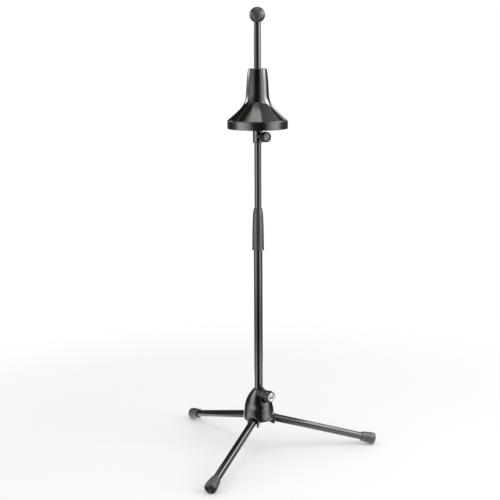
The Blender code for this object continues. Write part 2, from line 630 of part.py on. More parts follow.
def make_clutch(root):
    top = TUBE_TOP_Z
    ferrule_bore = TUBE_RADIUS + GAP
    rod_bore = ROD_RADIUS + CLUTCH_ROD_CLEARANCE
    seat_top = top + FERRULE_ABOVE_TUBE
    turned("clutch_ferrule", [
        (FERRULE_RADIUS, seat_top), (FERRULE_RADIUS, top - FERRULE_BELOW_TUBE),
        (ferrule_bore, top - FERRULE_BELOW_TUBE), (ferrule_bore, top + GAP),
        (rod_bore, top + GAP), (rod_bore, seat_top - FERRULE_SEAT_DEPTH),
        (FERRULE_SEAT_RADIUS, seat_top)], NYLON, root, closed=True)

    seat_slope = (FERRULE_SEAT_RADIUS - rod_bore) / FERRULE_SEAT_DEPTH
    collet_bore = ROD_RADIUS + GAP
    collet_radius = FERRULE_SEAT_RADIUS - GAP
    foot_radius = collet_radius - COLLET_BELOW_SEAT * seat_slope
    collet_top = seat_top + COLLET_ABOVE_SEAT
    nose = 2.0 * (collet_radius - collet_bore)
    collet = turned("clutch_collet", [
        (collet_bore + COLLET_LEAD, collet_top + nose), (collet_radius, collet_top),
        (collet_radius, seat_top), (foot_radius, seat_top - COLLET_BELOW_SEAT),
        (collet_bore, seat_top - COLLET_BELOW_SEAT), (collet_bore, collet_top + nose)],
        NYLON, root, closed=True)
    slit = block("collet_slit_form", (-2 * collet_radius, -COLLET_SLIT / 2, top),
                 (0.0, COLLET_SLIT / 2, collet_top + 2 * nose), None, root, cutter=True)
    slit.rotation_euler.z = LOCK_AZIMUTH
    cut(collet, slit)

    sleeve_top = top + SLEEVE_ABOVE_TUBE
    sleeve_bottom = top - SLEEVE_BELOW_TUBE
    thread_bore = FERRULE_RADIUS + GAP
    skirt_bore = SLEEVE_BOTTOM_RADIUS - SLEEVE_WALL
    thread_foot = top - FERRULE_BELOW_TUBE - SLEEVE_THREAD_RUNOUT
    throat = FERRULE_SEAT_RADIUS
    edge = 0.5 * MM
    waist_radius = 0.45 * SLEEVE_SHOULDER_RADIUS + 0.55 * SLEEVE_BODY_RADIUS
    lip_top = sleeve_bottom + SLEEVE_LIP_HEIGHT
    turned("clutch_sleeve", [
        (SLEEVE_TOP_RADIUS, sleeve_top),
        (SLEEVE_TOP_RADIUS + SLEEVE_NOSE_WIDTH, sleeve_top - SLEEVE_NOSE_DROP),
        (SLEEVE_SHOULDER_RADIUS - SLEEVE_NOSE_WIDTH, sleeve_top - SLEEVE_NECK_DROP),
        (SLEEVE_SHOULDER_RADIUS, sleeve_top - SLEEVE_SHOULDER_DROP),
        (waist_radius, top + SLEEVE_WAIST_ABOVE_TUBE),
        (SLEEVE_BODY_RADIUS, top - SLEEVE_GRIP_BELOW_TUBE),
        (SLEEVE_BOTTOM_RADIUS, lip_top + SLEEVE_LIP_BEVEL),
        (SLEEVE_LIP_RADIUS, lip_top), (SLEEVE_LIP_RADIUS, sleeve_bottom),
        (skirt_bore, sleeve_bottom), (skirt_bore, thread_foot - 2 * edge),
        (thread_bore, thread_foot), (thread_bore, seat_top + edge),
        (throat, seat_top + SLEEVE_THREAD_RUNOUT), (throat, collet_top + GAP),
        (rod_bore, collet_top + nose + 2 * GAP), (rod_bore, sleeve_top)],
        GRIP_PLASTIC, root, closed=True)


def flare_points(steps):
    """The cone's outer side: a Bezier curve from the top's edge to the ledge over the band."""
    ledge_z = CONE_RIM_Z + CONE_BAND_HEIGHT + CONE_LEDGE_RISE
    start = Vector((CONE_TOP_RADIUS, CONE_TOP_Z))
    end = Vector((CONE_RADIUS - CONE_LEDGE, ledge_z))
    first = start + Vector((FLARE_TOP_HANDLE[0], -FLARE_TOP_HANDLE[1]))
    second = end + Vector((-FLARE_RIM_HANDLE[0], FLARE_RIM_HANDLE[1]))
    points = []
    for i in range(steps + 1):
        t = i / steps
        point = ((1 - t) ** 3 * start + 3 * t * (1 - t) ** 2 * first
                 + 3 * t ** 2 * (1 - t) * second + t ** 3 * end)
        points.append((point.x, point.y))
    return points


def inward(points, wall):
    """The same line moved inward by the wall, square to the line at each point."""
    moved = []
    for i, (r, z) in enumerate(points):
        before = points[max(i - 1, 0)]
        after = points[min(i + 1, len(points) - 1)]
        run = Vector((after[0] - before[0], after[1] - before[1])).normalized()
        moved.append((r + wall * run.y, z - wall * run.x))
    return moved


def make_cone(root):
    flare = flare_points(16)
    edge = 0.6 * MM
    band_top = CONE_RIM_Z + CONE_BAND_HEIGHT
    plate_bore = LINER_BORE + TOP_BUSH_WALL + GAP
    top_edge = [(plate_bore, CONE_TOP_Z), (CONE_TOP_RADIUS - edge, CONE_TOP_Z),
                (CONE_TOP_RADIUS, CONE_TOP_Z - edge)]
    outer = [p for p in flare[1:] if p[1] < CONE_TOP_Z - edge]
    band = [(CONE_RADIUS - CONE_LEDGE, band_top), (CONE_RADIUS, band_top),
            (CONE_RADIUS, CONE_RIM_Z + edge),
            (CONE_RADIUS - edge, CONE_RIM_Z), (CONE_RADIUS - CONE_WALL, CONE_RIM_Z)]
    under_plate = CONE_TOP_Z - CONE_WALL
    inside = [p for p in inward(flare, CONE_WALL)
              if band_top - CONE_WALL + 2 * edge < p[1] < under_plate - edge]
    inside = [p for p in inside if p[0] < CONE_RADIUS - CONE_WALL - edge][::2]
    inner = [(CONE_RADIUS - CONE_WALL, band_top - CONE_WALL)] + inside[::-1]
    inner += [(CONE_TOP_RADIUS - CONE_WALL, under_plate), (plate_bore, under_plate)]
    turned("bell_cone", top_edge + outer + band + inner, GLOSS_BLACK, root, FINE_STEPS,
           closed=True)

    spider_low = CONE_RIM_Z + SPIDER_ABOVE_RIM
    spider_high = spider_low + SPIDER_THICKNESS
    ring_radius = CONE_RADIUS - CONE_WALL - GAP
    hub_bore = CLAMP_RADIUS + GAP
    pipe("cone_spider", ring_radius, ring_radius - SPIDER_RING_WIDTH, spider_low, spider_high,
         NYLON, root, FINE_STEPS)
    spider = bpy.data.objects["cone_spider"]
    for i in range(SPIDER_ARMS // 2):
        arm = block(f"spider_arm_form_{i + 1}",
                    (-ring_radius + SPIDER_RING_WIDTH / 2, -SPIDER_ARM_WIDTH / 2, spider_low + GAP),
                    (ring_radius - SPIDER_RING_WIDTH / 2, SPIDER_ARM_WIDTH / 2, spider_high - GAP),
                    None, root, cutter=True)
        arm.rotation_euler.z = 2 * math.pi * i / SPIDER_ARMS
        join(spider, arm)
    join(spider, rod("spider_hub_form", SPIDER_HUB_RADIUS, spider_low - 2 * GAP,
                     spider_high + 2 * GAP, None, root, TUBE_STEPS, cutter=True))
    cut(spider, rod("spider_bore_form", hub_bore, spider_low - CONE_WALL,
                    spider_high + CONE_WALL, None, root, TUBE_STEPS, cutter=True))

    bush_top = CONE_TOP_Z - GAP
    flange_top = under_plate - GAP
    flange_radius = plate_bore - GAP + TOP_BUSH_FLANGE
    turned("cone_top_bush", [
        (plate_bore - GAP, bush_top), (plate_bore - GAP, flange_top),
        (flange_radius, flange_top), (flange_radius, flange_top - TOP_BUSH_FLANGE_HEIGHT),
        (plate_bore - GAP, flange_top - TOP_BUSH_FLANGE_HEIGHT),
        (plate_bore - GAP - TOP_BUSH_TAPER, bush_top - TOP_BUSH_LENGTH),
        (LINER_BORE, bush_top - TOP_BUSH_LENGTH), (LINER_BORE, bush_top)],
        NYLON, root, closed=True)
    return spider_low, spider_high, bush_top - TOP_BUSH_LENGTH


def make_clamp(root, spider_low, spider_high, sleeve_top):
    flange_top = spider_low - 3 * GAP
    flange_low = flange_top - CLAMP_FLANGE_THICKNESS
    top = sleeve_top - GAP
    edge = 0.5 * MM
    sleeve = turned("clamp_sleeve", [
        (0.0, top), (CLAMP_RADIUS, top), (CLAMP_RADIUS, flange_top),
        (CLAMP_FLANGE_RADIUS, flange_top),
        (CLAMP_FLANGE_RADIUS, flange_low), (CLAMP_RADIUS, flange_low),
        (CLAMP_RADIUS, CLAMP_BOTTOM_Z + edge), (CLAMP_RADIUS - edge, CLAMP_BOTTOM_Z),
        (0.0, CLAMP_BOTTOM_Z)], GLOSS_BLACK, root)
    axis = empty("clamp_axis", root, screw_axis(CLAMP_AZIMUTH, CLAMP_Z))
    boss_start = CLAMP_BORE / 2
    boss_edge = 0.6 * MM
    join(sleeve, turned("clamp_boss_form", [
        (0.0, CLAMP_BOSS_REACH), (CLAMP_BOSS_RADIUS - boss_edge, CLAMP_BOSS_REACH),
        (CLAMP_BOSS_RADIUS, CLAMP_BOSS_REACH - boss_edge), (CLAMP_BOSS_RADIUS, boss_start),
        (0.0, boss_start)], None, axis, TUBE_STEPS, cutter=True))
    screw_bore = CLAMP_SCREW_RADIUS + GAP
    insert_bore = screw_bore + CLAMP_INSERT_WALL + GAP
    reach = CLAMP_BOSS_REACH + CLAMP_SCREW_RADIUS
    cut(sleeve,
        rod("clamp_rod_bore_form", CLAMP_BORE, CLAMP_BOTTOM_Z - CLAMP_WALL, top + CLAMP_WALL,
            None, root, TUBE_STEPS, cutter=True),
        rod("clamp_bore_form", screw_bore, LINER_BORE, reach, None, axis, cutter=True),
        rod("clamp_counterbore_form", insert_bore,
            CLAMP_BOSS_REACH - CLAMP_INSERT_LENGTH - GAP, reach, None, axis, cutter=True),
        solver="MANIFOLD")
    weld(sleeve)

    clip_low = spider_high + 3 * GAP
    clip_bore = CLAMP_RADIUS + GAP
    clip = pipe("cone_circlip", CIRCLIP_RADIUS, clip_bore, clip_low, clip_low + CIRCLIP_THICKNESS,
                STEEL, root)
    gap_form = block("circlip_gap_form", (-2 * CIRCLIP_RADIUS, -CIRCLIP_GAP / 2, clip_low - edge),
                     (0.0, CIRCLIP_GAP / 2, clip_low + 2 * CIRCLIP_THICKNESS), None, root,
                     cutter=True)
    gap_form.rotation_euler.z = CLAMP_AZIMUTH
    cut(clip, gap_form)

    lip_top = CLAMP_BOTTOM_Z - GAP
    lip_low = lip_top - LINER_LIP
    turned("cone_liner", [
        (LINER_RADIUS, lip_top + LINER_LENGTH), (LINER_RADIUS, lip_top),
        (LINER_RADIUS + LINER_FLANGE, lip_top), (LINER_RADIUS + LINER_FLANGE, lip_low),
        (LINER_BORE, lip_low), (LINER_BORE, lip_top + LINER_LENGTH)], NYLON, root, closed=True)

    pad_start = LINER_RADIUS + GAP
    pad_end = pad_start + CLAMP_PAD_THICKNESS
    rod("clamp_pad", CLAMP_SCREW_RADIUS, pad_start, pad_end, BRASS, axis)
    pipe("clamp_insert", screw_bore + CLAMP_INSERT_WALL, screw_bore,
         CLAMP_BOSS_REACH - CLAMP_INSERT_LENGTH, CLAMP_BOSS_REACH - GAP, BRASS, axis, SMALL_STEPS)
    knob_back = CLAMP_BOSS_REACH + GAP
    knob_face = knob_back + CLAMP_KNOB_THICKNESS
    cap_seat = knob_face - CLAMP_CAP_RECESS
    screw_end = cap_seat - 2 * GAP - CLAMP_SCREW_COVER
    rod("clamp_screw", CLAMP_SCREW_RADIUS, pad_end + GAP, screw_end, STEEL, axis)
    knob = prism("clamp_knob", fluted(CLAMP_KNOB_RADIUS, CLAMP_KNOB_FLUTE_DEPTH,
                 CLAMP_KNOB_FLUTES, 3), knob_back, knob_face, BLACK_PLASTIC, axis)
    chamfer(knob, CLAMP_KNOB_EDGE, 50.0)
    cut(knob, rod("clamp_knob_bore", CLAMP_SCREW_RADIUS + GAP, knob_back - CLAMP_KNOB_THICKNESS,
                  screw_end + GAP, None, axis, cutter=True),
        rod("clamp_cap_recess", CLAMP_CAP_RADIUS + GAP, cap_seat, knob_face + CLAMP_KNOB_THICKNESS,
            None, axis, TUBE_STEPS, cutter=True))
    turned("clamp_knob_cap", dished_cap(CLAMP_CAP_RADIUS, cap_seat + GAP, CLAMP_CAP_HEIGHT),
           GREY_PLASTIC, axis)


def centre_on_origin(root):
    """Slide the stand so that its bounding box is centred over the origin."""
    bpy.context.view_layer.update()
    depsgraph = bpy.context.evaluated_depsgraph_get()
    low = [math.inf, math.inf]
    high = [-math.inf, -math.inf]
    for thing in PARTS.objects:
        if thing.type != "MESH":
            continue
        solid = thing.evaluated_get(depsgraph)
        for corner in solid.data.vertices:
            place = solid.matrix_world @ corner.co
            for k in range(2):
                low[k] = min(low[k], place[k])
                high[k] = max(high[k], place[k])
    root.location.x = -(low[0] + high[0]) / 2
    root.location.y = -(low[1] + high[1]) / 2
    bpy.context.view_layer.update()


clear_scene()
PARTS = new_collection(OBJECT_NAME)
CUTTERS = new_collection("cutters")
GLOSS_BLACK = look("gloss_black_plastic", (0.010, 0.010, 0.012), 0.12)
GLOSS_STEEL = look("black_enamelled_steel", (0.012, 0.012, 0.014), 0.16)
BLACK_PLASTIC = look("black_plastic", (0.016, 0.016, 0.017), 0.35)
GRIP_PLASTIC = look("grip_plastic", (0.030, 0.032, 0.035), 0.55)
GREY_PLASTIC = look("grey_plastic", (0.26, 0.26, 0.26), 0.40)
RUBBER = look("rubber", (0.030, 0.030, 0.031), 0.80)
NYLON = look("black_nylon", (0.025, 0.025, 0.026), 0.50)
STEEL = look("zinc_plated_steel", (0.55, 0.56, 0.57), 0.35, 1.0)
BRASS = look("brass", (0.62, 0.45, 0.18), 0.35, 1.0)
CHROME = look("chrome", (0.80, 0.81, 0.82), 0.08, 1.0)

ROOT = empty("stand_root")
FLOOR = block("floor_cut_form", (-2 * LEG_LENGTH, -2 * LEG_LENGTH, -FOOT_RADIUS),
              (2 * LEG_LENGTH, 2 * LEG_LENGTH, 0.0), None, ROOT, cutter=True)
make_socket(ROOT)
make_socket_fittings(ROOT)
for leg in range(LEG_COUNT):
    make_leg(ROOT, leg)
make_post(ROOT)
make_clutch(ROOT)
make_clamp(ROOT, *make_cone(ROOT))
centre_on_origin(ROOT)
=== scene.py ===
import math

import bpy
import numpy as np
from mathutils import Matrix, Vector


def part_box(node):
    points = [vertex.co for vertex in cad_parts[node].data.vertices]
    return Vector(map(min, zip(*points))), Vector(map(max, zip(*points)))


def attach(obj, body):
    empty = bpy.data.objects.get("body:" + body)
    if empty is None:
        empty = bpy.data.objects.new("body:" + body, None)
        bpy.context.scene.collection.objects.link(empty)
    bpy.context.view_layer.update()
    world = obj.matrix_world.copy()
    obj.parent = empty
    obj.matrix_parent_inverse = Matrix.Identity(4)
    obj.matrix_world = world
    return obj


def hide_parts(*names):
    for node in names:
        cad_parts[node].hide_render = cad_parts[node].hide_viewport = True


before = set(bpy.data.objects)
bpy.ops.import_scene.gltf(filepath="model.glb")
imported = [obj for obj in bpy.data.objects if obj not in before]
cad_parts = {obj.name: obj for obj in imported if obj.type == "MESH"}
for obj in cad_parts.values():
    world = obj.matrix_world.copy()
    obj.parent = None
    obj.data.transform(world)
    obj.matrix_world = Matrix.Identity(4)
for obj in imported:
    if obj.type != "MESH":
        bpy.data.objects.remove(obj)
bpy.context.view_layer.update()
mm = 0.001
print("stand: frame loaded with", len(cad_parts), "nodes")


def sizes(**lengths):  # a piece's lengths, written in millimetres
    return {name: value * mm for name, value in lengths.items()}


# where the main lines of the stand run, read from the frame


def boxMiddle(node):
    low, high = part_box(node)
    return (low + high) / 2


def nodeLow(node):
    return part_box(node)[0].z


def nodeTop(node):
    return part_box(node)[1].z


poleX = boxMiddle("upper_rod").x
poleY = boxMiddle("upper_rod").y
pinHeight = boxMiddle("leg_1_pin").z
pinReach = (Vector((poleX, poleY, pinHeight)) - boxMiddle("leg_1_pin")).length
legSlope = math.radians(15.5)
knobAzimuth = math.radians(-30)
legAzimuths = [math.radians(-90 + 120 * i) for i in range(3)]
upright = Matrix.Translation((poleX, poleY, 0))


def outwardAxis(azimuth, height, reach=0.0, slope=0.0):
    # Z away from the post and down by the slope, X its upper side, Y to the side
    out = Vector((math.cos(azimuth), math.sin(azimuth), 0))
    up = Vector((0, 0, 1))
    along = math.cos(slope) * out - math.sin(slope) * up
    normal = math.sin(slope) * out + math.cos(slope) * up
    axis = Matrix((normal, along.cross(normal), along)).transposed().to_4x4()
    axis.translation = Vector((poleX, poleY, height)) + reach * out
    return axis


# surfaces: every piece is a grid of points, rows by columns, worked out as one array


def placed(points, axis):  # the same points in the frame's own coordinates
    return points @ np.array(axis.to_3x3()).T + np.array(axis.translation)


def gridFaces(rows, columns, wrapRows, wrapColumns):
    i = np.arange(rows if wrapRows else rows - 1)[:, None]
    j = np.arange(columns if wrapColumns else columns - 1)[None, :]
    nextRow = (i + 1) % rows
    nextColumn = (j + 1) % columns
    corners = [i * columns + j, nextRow * columns + j,
               nextRow * columns + nextColumn, i * columns + nextColumn]
    return np.stack([np.broadcast_to(c, (i.size, j.size)).ravel() for c in corners], axis=1)


def signedVolume(points, faces):  # sum of the tetrahedra from the origin to each face
    total = 0.0
    for face in faces:
        a = points[face[:, 0]]
        for k in range(1, face.shape[1] - 1):
            total += np.einsum("ij,ij->i", a, np.cross(points[face[:, k]], points[face[:, k + 1]])).sum()
    return total / 6


def makeMesh(name, points, faceSets, material):
    middle = points.mean(axis=0)
    if signedVolume(points - middle, faceSets) < 0:
        faceSets = [faces[:, ::-1] for faces in faceSets]
    mesh = bpy.data.meshes.new(name)
    mesh.from_pydata(points.tolist(), [], [f for faces in faceSets for f in faces.tolist()])
    mesh.polygons.foreach_set("use_smooth", np.ones(len(mesh.polygons), dtype=bool))
    mesh.materials.append(material)
    mesh.update()
    piece = bpy.data.objects.new(name, mesh)
    bpy.context.scene.collection.objects.link(piece)
    return piece


def fan(ring, pole, flip=False):  # triangles from a ring of point numbers to one point
    after = np.roll(ring, -1)
    faces = np.stack([np.full(ring.size, pole), ring, after], axis=1)
    return faces[:, ::-1] if flip else faces


def softened(corners, radii, segments=5, closed=True):
    # each corner becomes an arc that touches both its sides, with a point held just outside it
    # the radii are in millimetres, one for each corner or one for all
    corners = np.array(corners, dtype=float)
    radii = np.broadcast_to(np.array(radii, dtype=float) * mm, (len(corners),))
    line = []
    for i, corner in enumerate(corners):
        atEnd = not closed and i in (0, len(corners) - 1)
        before, after = corners[i - 1] - corner, corners[(i + 1) % len(corners)] - corner
        if atEnd or radii[i] <= 0:
            line.append(corner[None, :])
            continue
        lengthBefore, lengthAfter = np.linalg.norm(before), np.linalg.norm(after)
        before, after = before / lengthBefore, after / lengthAfter
        half = math.acos(max(-1.0, min(1.0, float(before @ after)))) / 2
        if half > math.radians(88):
            line.append(corner[None, :])
            continue
        reach = min(radii[i] / math.tan(half), 0.42 * lengthBefore, 0.42 * lengthAfter)
        radius = reach * math.tan(half)
        bisector = (before + after) / np.linalg.norm(before + after)
        centre = corner + bisector * radius / math.sin(half)
        start, end = corner + before * reach, corner + after * reach
        sweep = np.linspace(0, 1, segments + 1)[:, None]
        chord = (start - centre) * (1 - sweep) + (end - centre) * sweep
        arcPoints = centre + chord / np.linalg.norm(chord, axis=1)[:, None] * radius
        hold = 0.16 * reach
        line.append(np.vstack([start + before * hold, arcPoints, end + after * hold]))
    return np.vstack(line)


def softLine(corners, radii, segments=5):  # the same for a line that stays open at its ends
    return softened(corners, radii, segments, closed=False)


def turned(name, profile, axis, material, steps=96, ripple=None, bend=None):
    # a closed loop of (radius, height) turned about the axis: x = r cos a, y = r sin a, z = height
    # ripple(radius, height, angle) changes the radius, bend(points) moves the finished points
    profile = np.array(profile, dtype=float)
    angle = np.arange(steps) * 2 * math.pi / steps
    radius = np.repeat(profile[:, :1], steps, axis=1)
    height = np.repeat(profile[:, 1:], steps, axis=1)
    if ripple:
        radius = ripple(radius, height, angle[None, :])
    points = np.stack([radius * np.cos(angle), radius * np.sin(angle), height], axis=2)
    onAxis = profile[:, 0] < 1e-9
    if onAxis.any():  # a solid end: the loop opens at the axis and each end closes on one point
        poles = profile[onAxis][:, 1]
        flat, faces = closedEnds(points[~onAxis], np.array([[0, 0, poles[0]], [0, 0, poles[-1]]]))
    else:
        flat, faces = points.reshape(-1, 3), [gridFaces(len(profile), steps, True, True)]
    if bend:
        flat = bend(flat)
    return makeMesh(name, placed(flat, axis), faces, material)


def closedEnds(grid, ends):  # a tube of rings whose first and last ring each close on one point
    rows, columns = grid.shape[:2]
    ring = np.arange(columns)
    return np.vstack([grid.reshape(-1, 3), ends]), [
        gridFaces(rows, columns, False, True), fan(ring, rows * columns, True),
        fan(ring + (rows - 1) * columns, rows * columns + 1)]


def tube(name, grid, axis, material):
    flat, faces = closedEnds(grid, np.vstack([grid[0].mean(axis=0), grid[-1].mean(axis=0)]))
    return makeMesh(name, placed(flat, axis), faces, material)


def sweptLoop(name, path, side, up, loop, axis, material):
    # a closed loop of (across, upward) points carried along a path with its own side and up directions
    return tube(name, path[:, None, :] + loop[None, :, :1] * side[:, None, :]
                + loop[None, :, 1:] * up[:, None, :], axis, material)


def partRing(name, loop, startAngle, endAngle, axis, material, steps=72):
    # a closed loop of (radius, height) turned through part of a circle, flat at both ends
    angle = np.linspace(startAngle, endAngle, steps)
    side = np.stack([np.cos(angle), np.sin(angle), 0 * angle], axis=1)
    up = np.tile([0.0, 0.0, 1.0], (steps, 1))
    return sweptLoop(name, np.zeros((steps, 3)), side, up, np.array(loop, dtype=float), axis, material)


def ringLoop(outer, inner, low, high, radius=0.3):
    return softened([(outer, high), (outer, low), (inner, low), (inner, high)], radius)


def splitRing(name, loop, slit, material, steps=72):  # open on the side away from the knobs
    start = knobAzimuth + math.pi + slit / 2
    return partRing(name, loop, start, start + 2 * math.pi - slit, upright, material, steps)


def finish(piece, body, *nodes):  # the piece joins its body, and the nodes it covers are hidden
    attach(piece, body)
    if nodes:
        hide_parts(*nodes)
    return piece


# finishes: each reads Object coordinates, so a pattern stays with its piece


class Nodes:
    # the steps that every node tree here is made of
    def __init__(self, owner):
        owner.use_nodes = True
        self.nodes = owner.node_tree.nodes
        self.links = owner.node_tree.links

    def link(self, source, target):  # a plain number is set on the socket itself
        if isinstance(source, (int, float)):
            target.default_value = source
        else:
            self.links.new(source, target)

    def math(self, operation, *values):
        node = self.nodes.new("ShaderNodeMath")
        node.operation = operation
        for socket, value in zip(node.inputs, values):
            self.link(value, socket)
        return node.outputs["Value"]

    def plus(self, first, *others):
        for other in others:
            first = self.math("ADD", first, other)
        return first

    def minus(self, first, second):
        return self.math("SUBTRACT", first, second)

    def times(self, first, *others):
        for other in others:
            first = self.math("MULTIPLY", first, other)
        return first

    def band(self, value, fromLow, fromHigh, toLow=0.0, toHigh=1.0, kind="LINEAR"):
        node = self.nodes.new("ShaderNodeMapRange")
        node.interpolation_type = kind
        numbers = {"From Min": fromLow, "From Max": fromHigh, "To Min": toLow, "To Max": toHigh}
        for name, number in numbers.items():
            node.inputs[name].default_value = number
        self.link(value, node.inputs["Value"])
        return node.outputs["Result"]

    def ease(self, value, *limits):
        return self.band(value, *limits, kind="SMOOTHSTEP")

    def place(self):
        return self.nodes.new("ShaderNodeTexCoord").outputs["Object"]

    def split(self, vector):
        node = self.nodes.new("ShaderNodeSeparateXYZ")
        self.link(vector, node.inputs["Vector"])
        return node.outputs

    def seenRays(self):  # 1 for what the camera sees directly, in gloss or through glass
        rays = self.nodes.new("ShaderNodeLightPath").outputs
        return self.math("MAXIMUM", self.math("MAXIMUM", rays["Is Camera Ray"], rays["Is Glossy Ray"]),
                         rays["Is Transmission Ray"])


class Finish(Nodes):
    def __init__(self, name):
        self.material = bpy.data.materials.new(name)
        super().__init__(self.material)
        self.shader = self.nodes["Principled BSDF"]
        self.coords = self.place()
        self.normal = None

    def noise(self, scale, detail=3.0, rough=0.5, stretch=None, distortion=0.0):
        texture = self.nodes.new("ShaderNodeTexNoise")
        numbers = {"Scale": scale, "Detail": detail, "Roughness": rough, "Distortion": distortion}
        for name, number in numbers.items():
            texture.inputs[name].default_value = number
        vector = self.coords
        if stretch:  # coordinates scaled apart along x, y and z
            mapping = self.nodes.new("ShaderNodeMapping")
            mapping.inputs["Scale"].default_value = stretch
            self.link(vector, mapping.inputs["Vector"])
            vector = mapping.outputs["Vector"]
        self.link(vector, texture.inputs["Vector"])
        return texture.outputs["Fac"]

    def colours(self, value, stops):
        ramp = self.nodes.new("ShaderNodeValToRGB")
        band = ramp.color_ramp
        while len(band.elements) < len(stops):
            band.elements.new(0.5)
        for element, (position, colour) in zip(band.elements, stops):
            element.position = position
            element.color = (*colour, 1)
        self.link(value, ramp.inputs["Fac"])
        self.link(ramp.outputs["Color"], self.shader.inputs["Base Color"])

    def bump(self, strength, distance, *noise):
        node = self.nodes.new("ShaderNodeBump")
        node.inputs["Strength"].default_value = strength
        node.inputs["Distance"].default_value = distance
        self.link(self.noise(*noise), node.inputs["Height"])
        if self.normal:
            self.link(self.normal, node.inputs["Normal"])
        self.normal = node.outputs["Normal"]
        self.link(self.normal, self.shader.inputs["Normal"])


def skin(name, look):
    # tone: noise that picks the colour, rough: noise and its span, then the roughness it gives,
    # marks: the same for scratches that add to it, bumps: strength, depth in metres and noise
    f = Finish(name)
    tone = f.noise(*look["tone"])
    if "sole" in look:  # painted shade: the tone shifts with height, so that it darkens towards the floor, where shade falls
        tone = f.plus(tone, f.band(f.split(f.coords)["Z"], *look["sole"]))
    f.colours(tone, look["stops"])
    noise, span = look["rough"]
    rough = f.band(f.noise(*noise), *span)
    if "marks" in look:
        noise, span = look["marks"]
        rough = f.plus(rough, f.band(f.noise(*noise), *span))
    f.link(rough, f.shader.inputs["Roughness"])
    for bump in look["bumps"]:
        f.bump(*bump)
    for key, socket in (("metal", "Metallic"), ("ior", "IOR"), ("shine", "Specular IOR Level")):
        if key in look:
            f.shader.inputs[socket].default_value = look[key]
    return f.material


def satinPlastic(name, deep, light, smooth=0.26, dull=0.42, shine=0.5):
    # knob plastic: satin with worn, shinier patches
    return skin(name, {
        "tone": (140, 4, 0.6), "stops": [(0.3, deep), (0.75, light)],
        "rough": ((210, 4, 0.6), (0.35, 0.7, smooth, dull)),
        "bumps": [(0.12, 0.00015, 1700, 3, 0.6)], "shine": shine})


def platedMetal(name, light, dark, smooth, dull, turning):
    # plated or turned metal: fine tool rings as stretched noise, small stains
    return skin(name, {
        "tone": (220, 5, 0.65), "stops": [(0.3, dark), (0.62, light)],
        "rough": ((500, 4, 0.6), (0.3, 0.7, smooth, dull)),
        "bumps": [(0.10, 0.00008, turning, 2, 0.5, (1, 1, 9))], "metal": 1.0})


# moulded plastic: faint flow marks, hair scratches and a little handling haze
glossBlack = skin("gloss black plastic", {
    "tone": (38, 2, 0.5, (1, 1, 0.35), 0.6),
    "stops": [(0.3, (0.0026, 0.0026, 0.0030)), (0.8, (0.0060, 0.0060, 0.0066))],
    "rough": ((70, 5, 0.62), (0.42, 0.75, 0.055, 0.13)),
    "marks": ((900, 2, 0.5, (1, 1, 0.06)), (0.60, 0.72, 0.0, 0.05)),
    "bumps": [(0.03, 0.0004, 60, 2, 0.5), (0.02, 0.0001, 1400, 2, 0.5)], "ior": 1.52})
# stove enamel over drawn tube: slight orange peel and long rub marks
blackEnamel = skin("black enamelled steel", {
    "tone": (55, 3, 0.5),
    "stops": [(0.3, (0.0022, 0.0022, 0.0026)), (0.8, (0.0052, 0.0052, 0.0058))],
    "rough": ((90, 4, 0.6), (0.40, 0.75, 0.06, 0.12)),
    "marks": ((420, 3, 0.55, (1, 1, 0.04)), (0.58, 0.74, 0.0, 0.07)),
    "bumps": [(0.03, 0.00015, 520, 2, 0.5), (0.02, 0.0003, 45, 1, 0.5)], "ior": 1.53})
# rough skin with pores and patches, with painted shade that darkens it towards the sole
bootRubber = skin("boot rubber", {
    "tone": (230, 4, 0.7), "sole": (0.001, 0.010, -0.16, 0.07),
    "stops": [(0.38, (0.004, 0.004, 0.0045)), (0.60, (0.034, 0.034, 0.035)), (0.95, (0.10, 0.098, 0.095))],
    "rough": ((260, 4, 0.6), (0.3, 0.7, 0.26, 0.42)),
    "bumps": [(0.35, 0.0003, 1100, 4, 0.65), (0.80, 0.0018, 330, 4, 0.65)], "shine": 0.42})
# polished by the bell's rim: darker and glossier, with a pebbled skin
ballRubber = skin("ball rubber", {
    "tone": (240, 4, 0.7), "stops": [(0.40, (0.003, 0.003, 0.0033)), (0.60, (0.013, 0.013, 0.0135))],
    "rough": ((230, 4, 0.6), (0.35, 0.65, 0.24, 0.36)),
    "bumps": [(0.90, 0.0013, 420, 3, 0.65), (0.25, 0.0002, 1300, 3, 0.6)]})
# spark-textured sleeve, shinier where hands have turned it
gripSkin = skin("grip plastic", {
    "tone": (80, 4, 0.6), "stops": [(0.3, (0.011, 0.013, 0.015)), (0.75, (0.020, 0.022, 0.026))],
    "rough": ((48, 4, 0.6), (0.35, 0.7, 0.30, 0.44)),
    "bumps": [(0.22, 0.00018, 2300, 3, 0.6), (0.06, 0.0004, 160, 2, 0.5)]})
knobBlack = satinPlastic("knob plastic", (0.003, 0.003, 0.0035), (0.009, 0.009, 0.010),
                         0.22, 0.38, 0.28)
bossBlack = satinPlastic("boss plastic", (0.004, 0.004, 0.0045), (0.011, 0.011, 0.012),
                         0.26, 0.40)
capGrey = satinPlastic("cap plastic", (0.06, 0.06, 0.063), (0.11, 0.11, 0.115), 0.34, 0.52)
blackNylon = satinPlastic("moulded nylon", (0.016, 0.016, 0.017), (0.030, 0.030, 0.031),
                          0.36, 0.55)
zincSteel = platedMetal("zinc plated steel", (0.55, 0.56, 0.57), (0.40, 0.40, 0.39),
                        0.24, 0.42, 900)
turnedBrass = platedMetal("turned brass", (0.66, 0.49, 0.20), (0.42, 0.29, 0.11), 0.22, 0.42, 900)
brightChrome = platedMetal("dark chrome", (0.22, 0.222, 0.225), (0.13, 0.132, 0.135),
                           0.05, 0.10, 700)
print("stand: finishes ready")


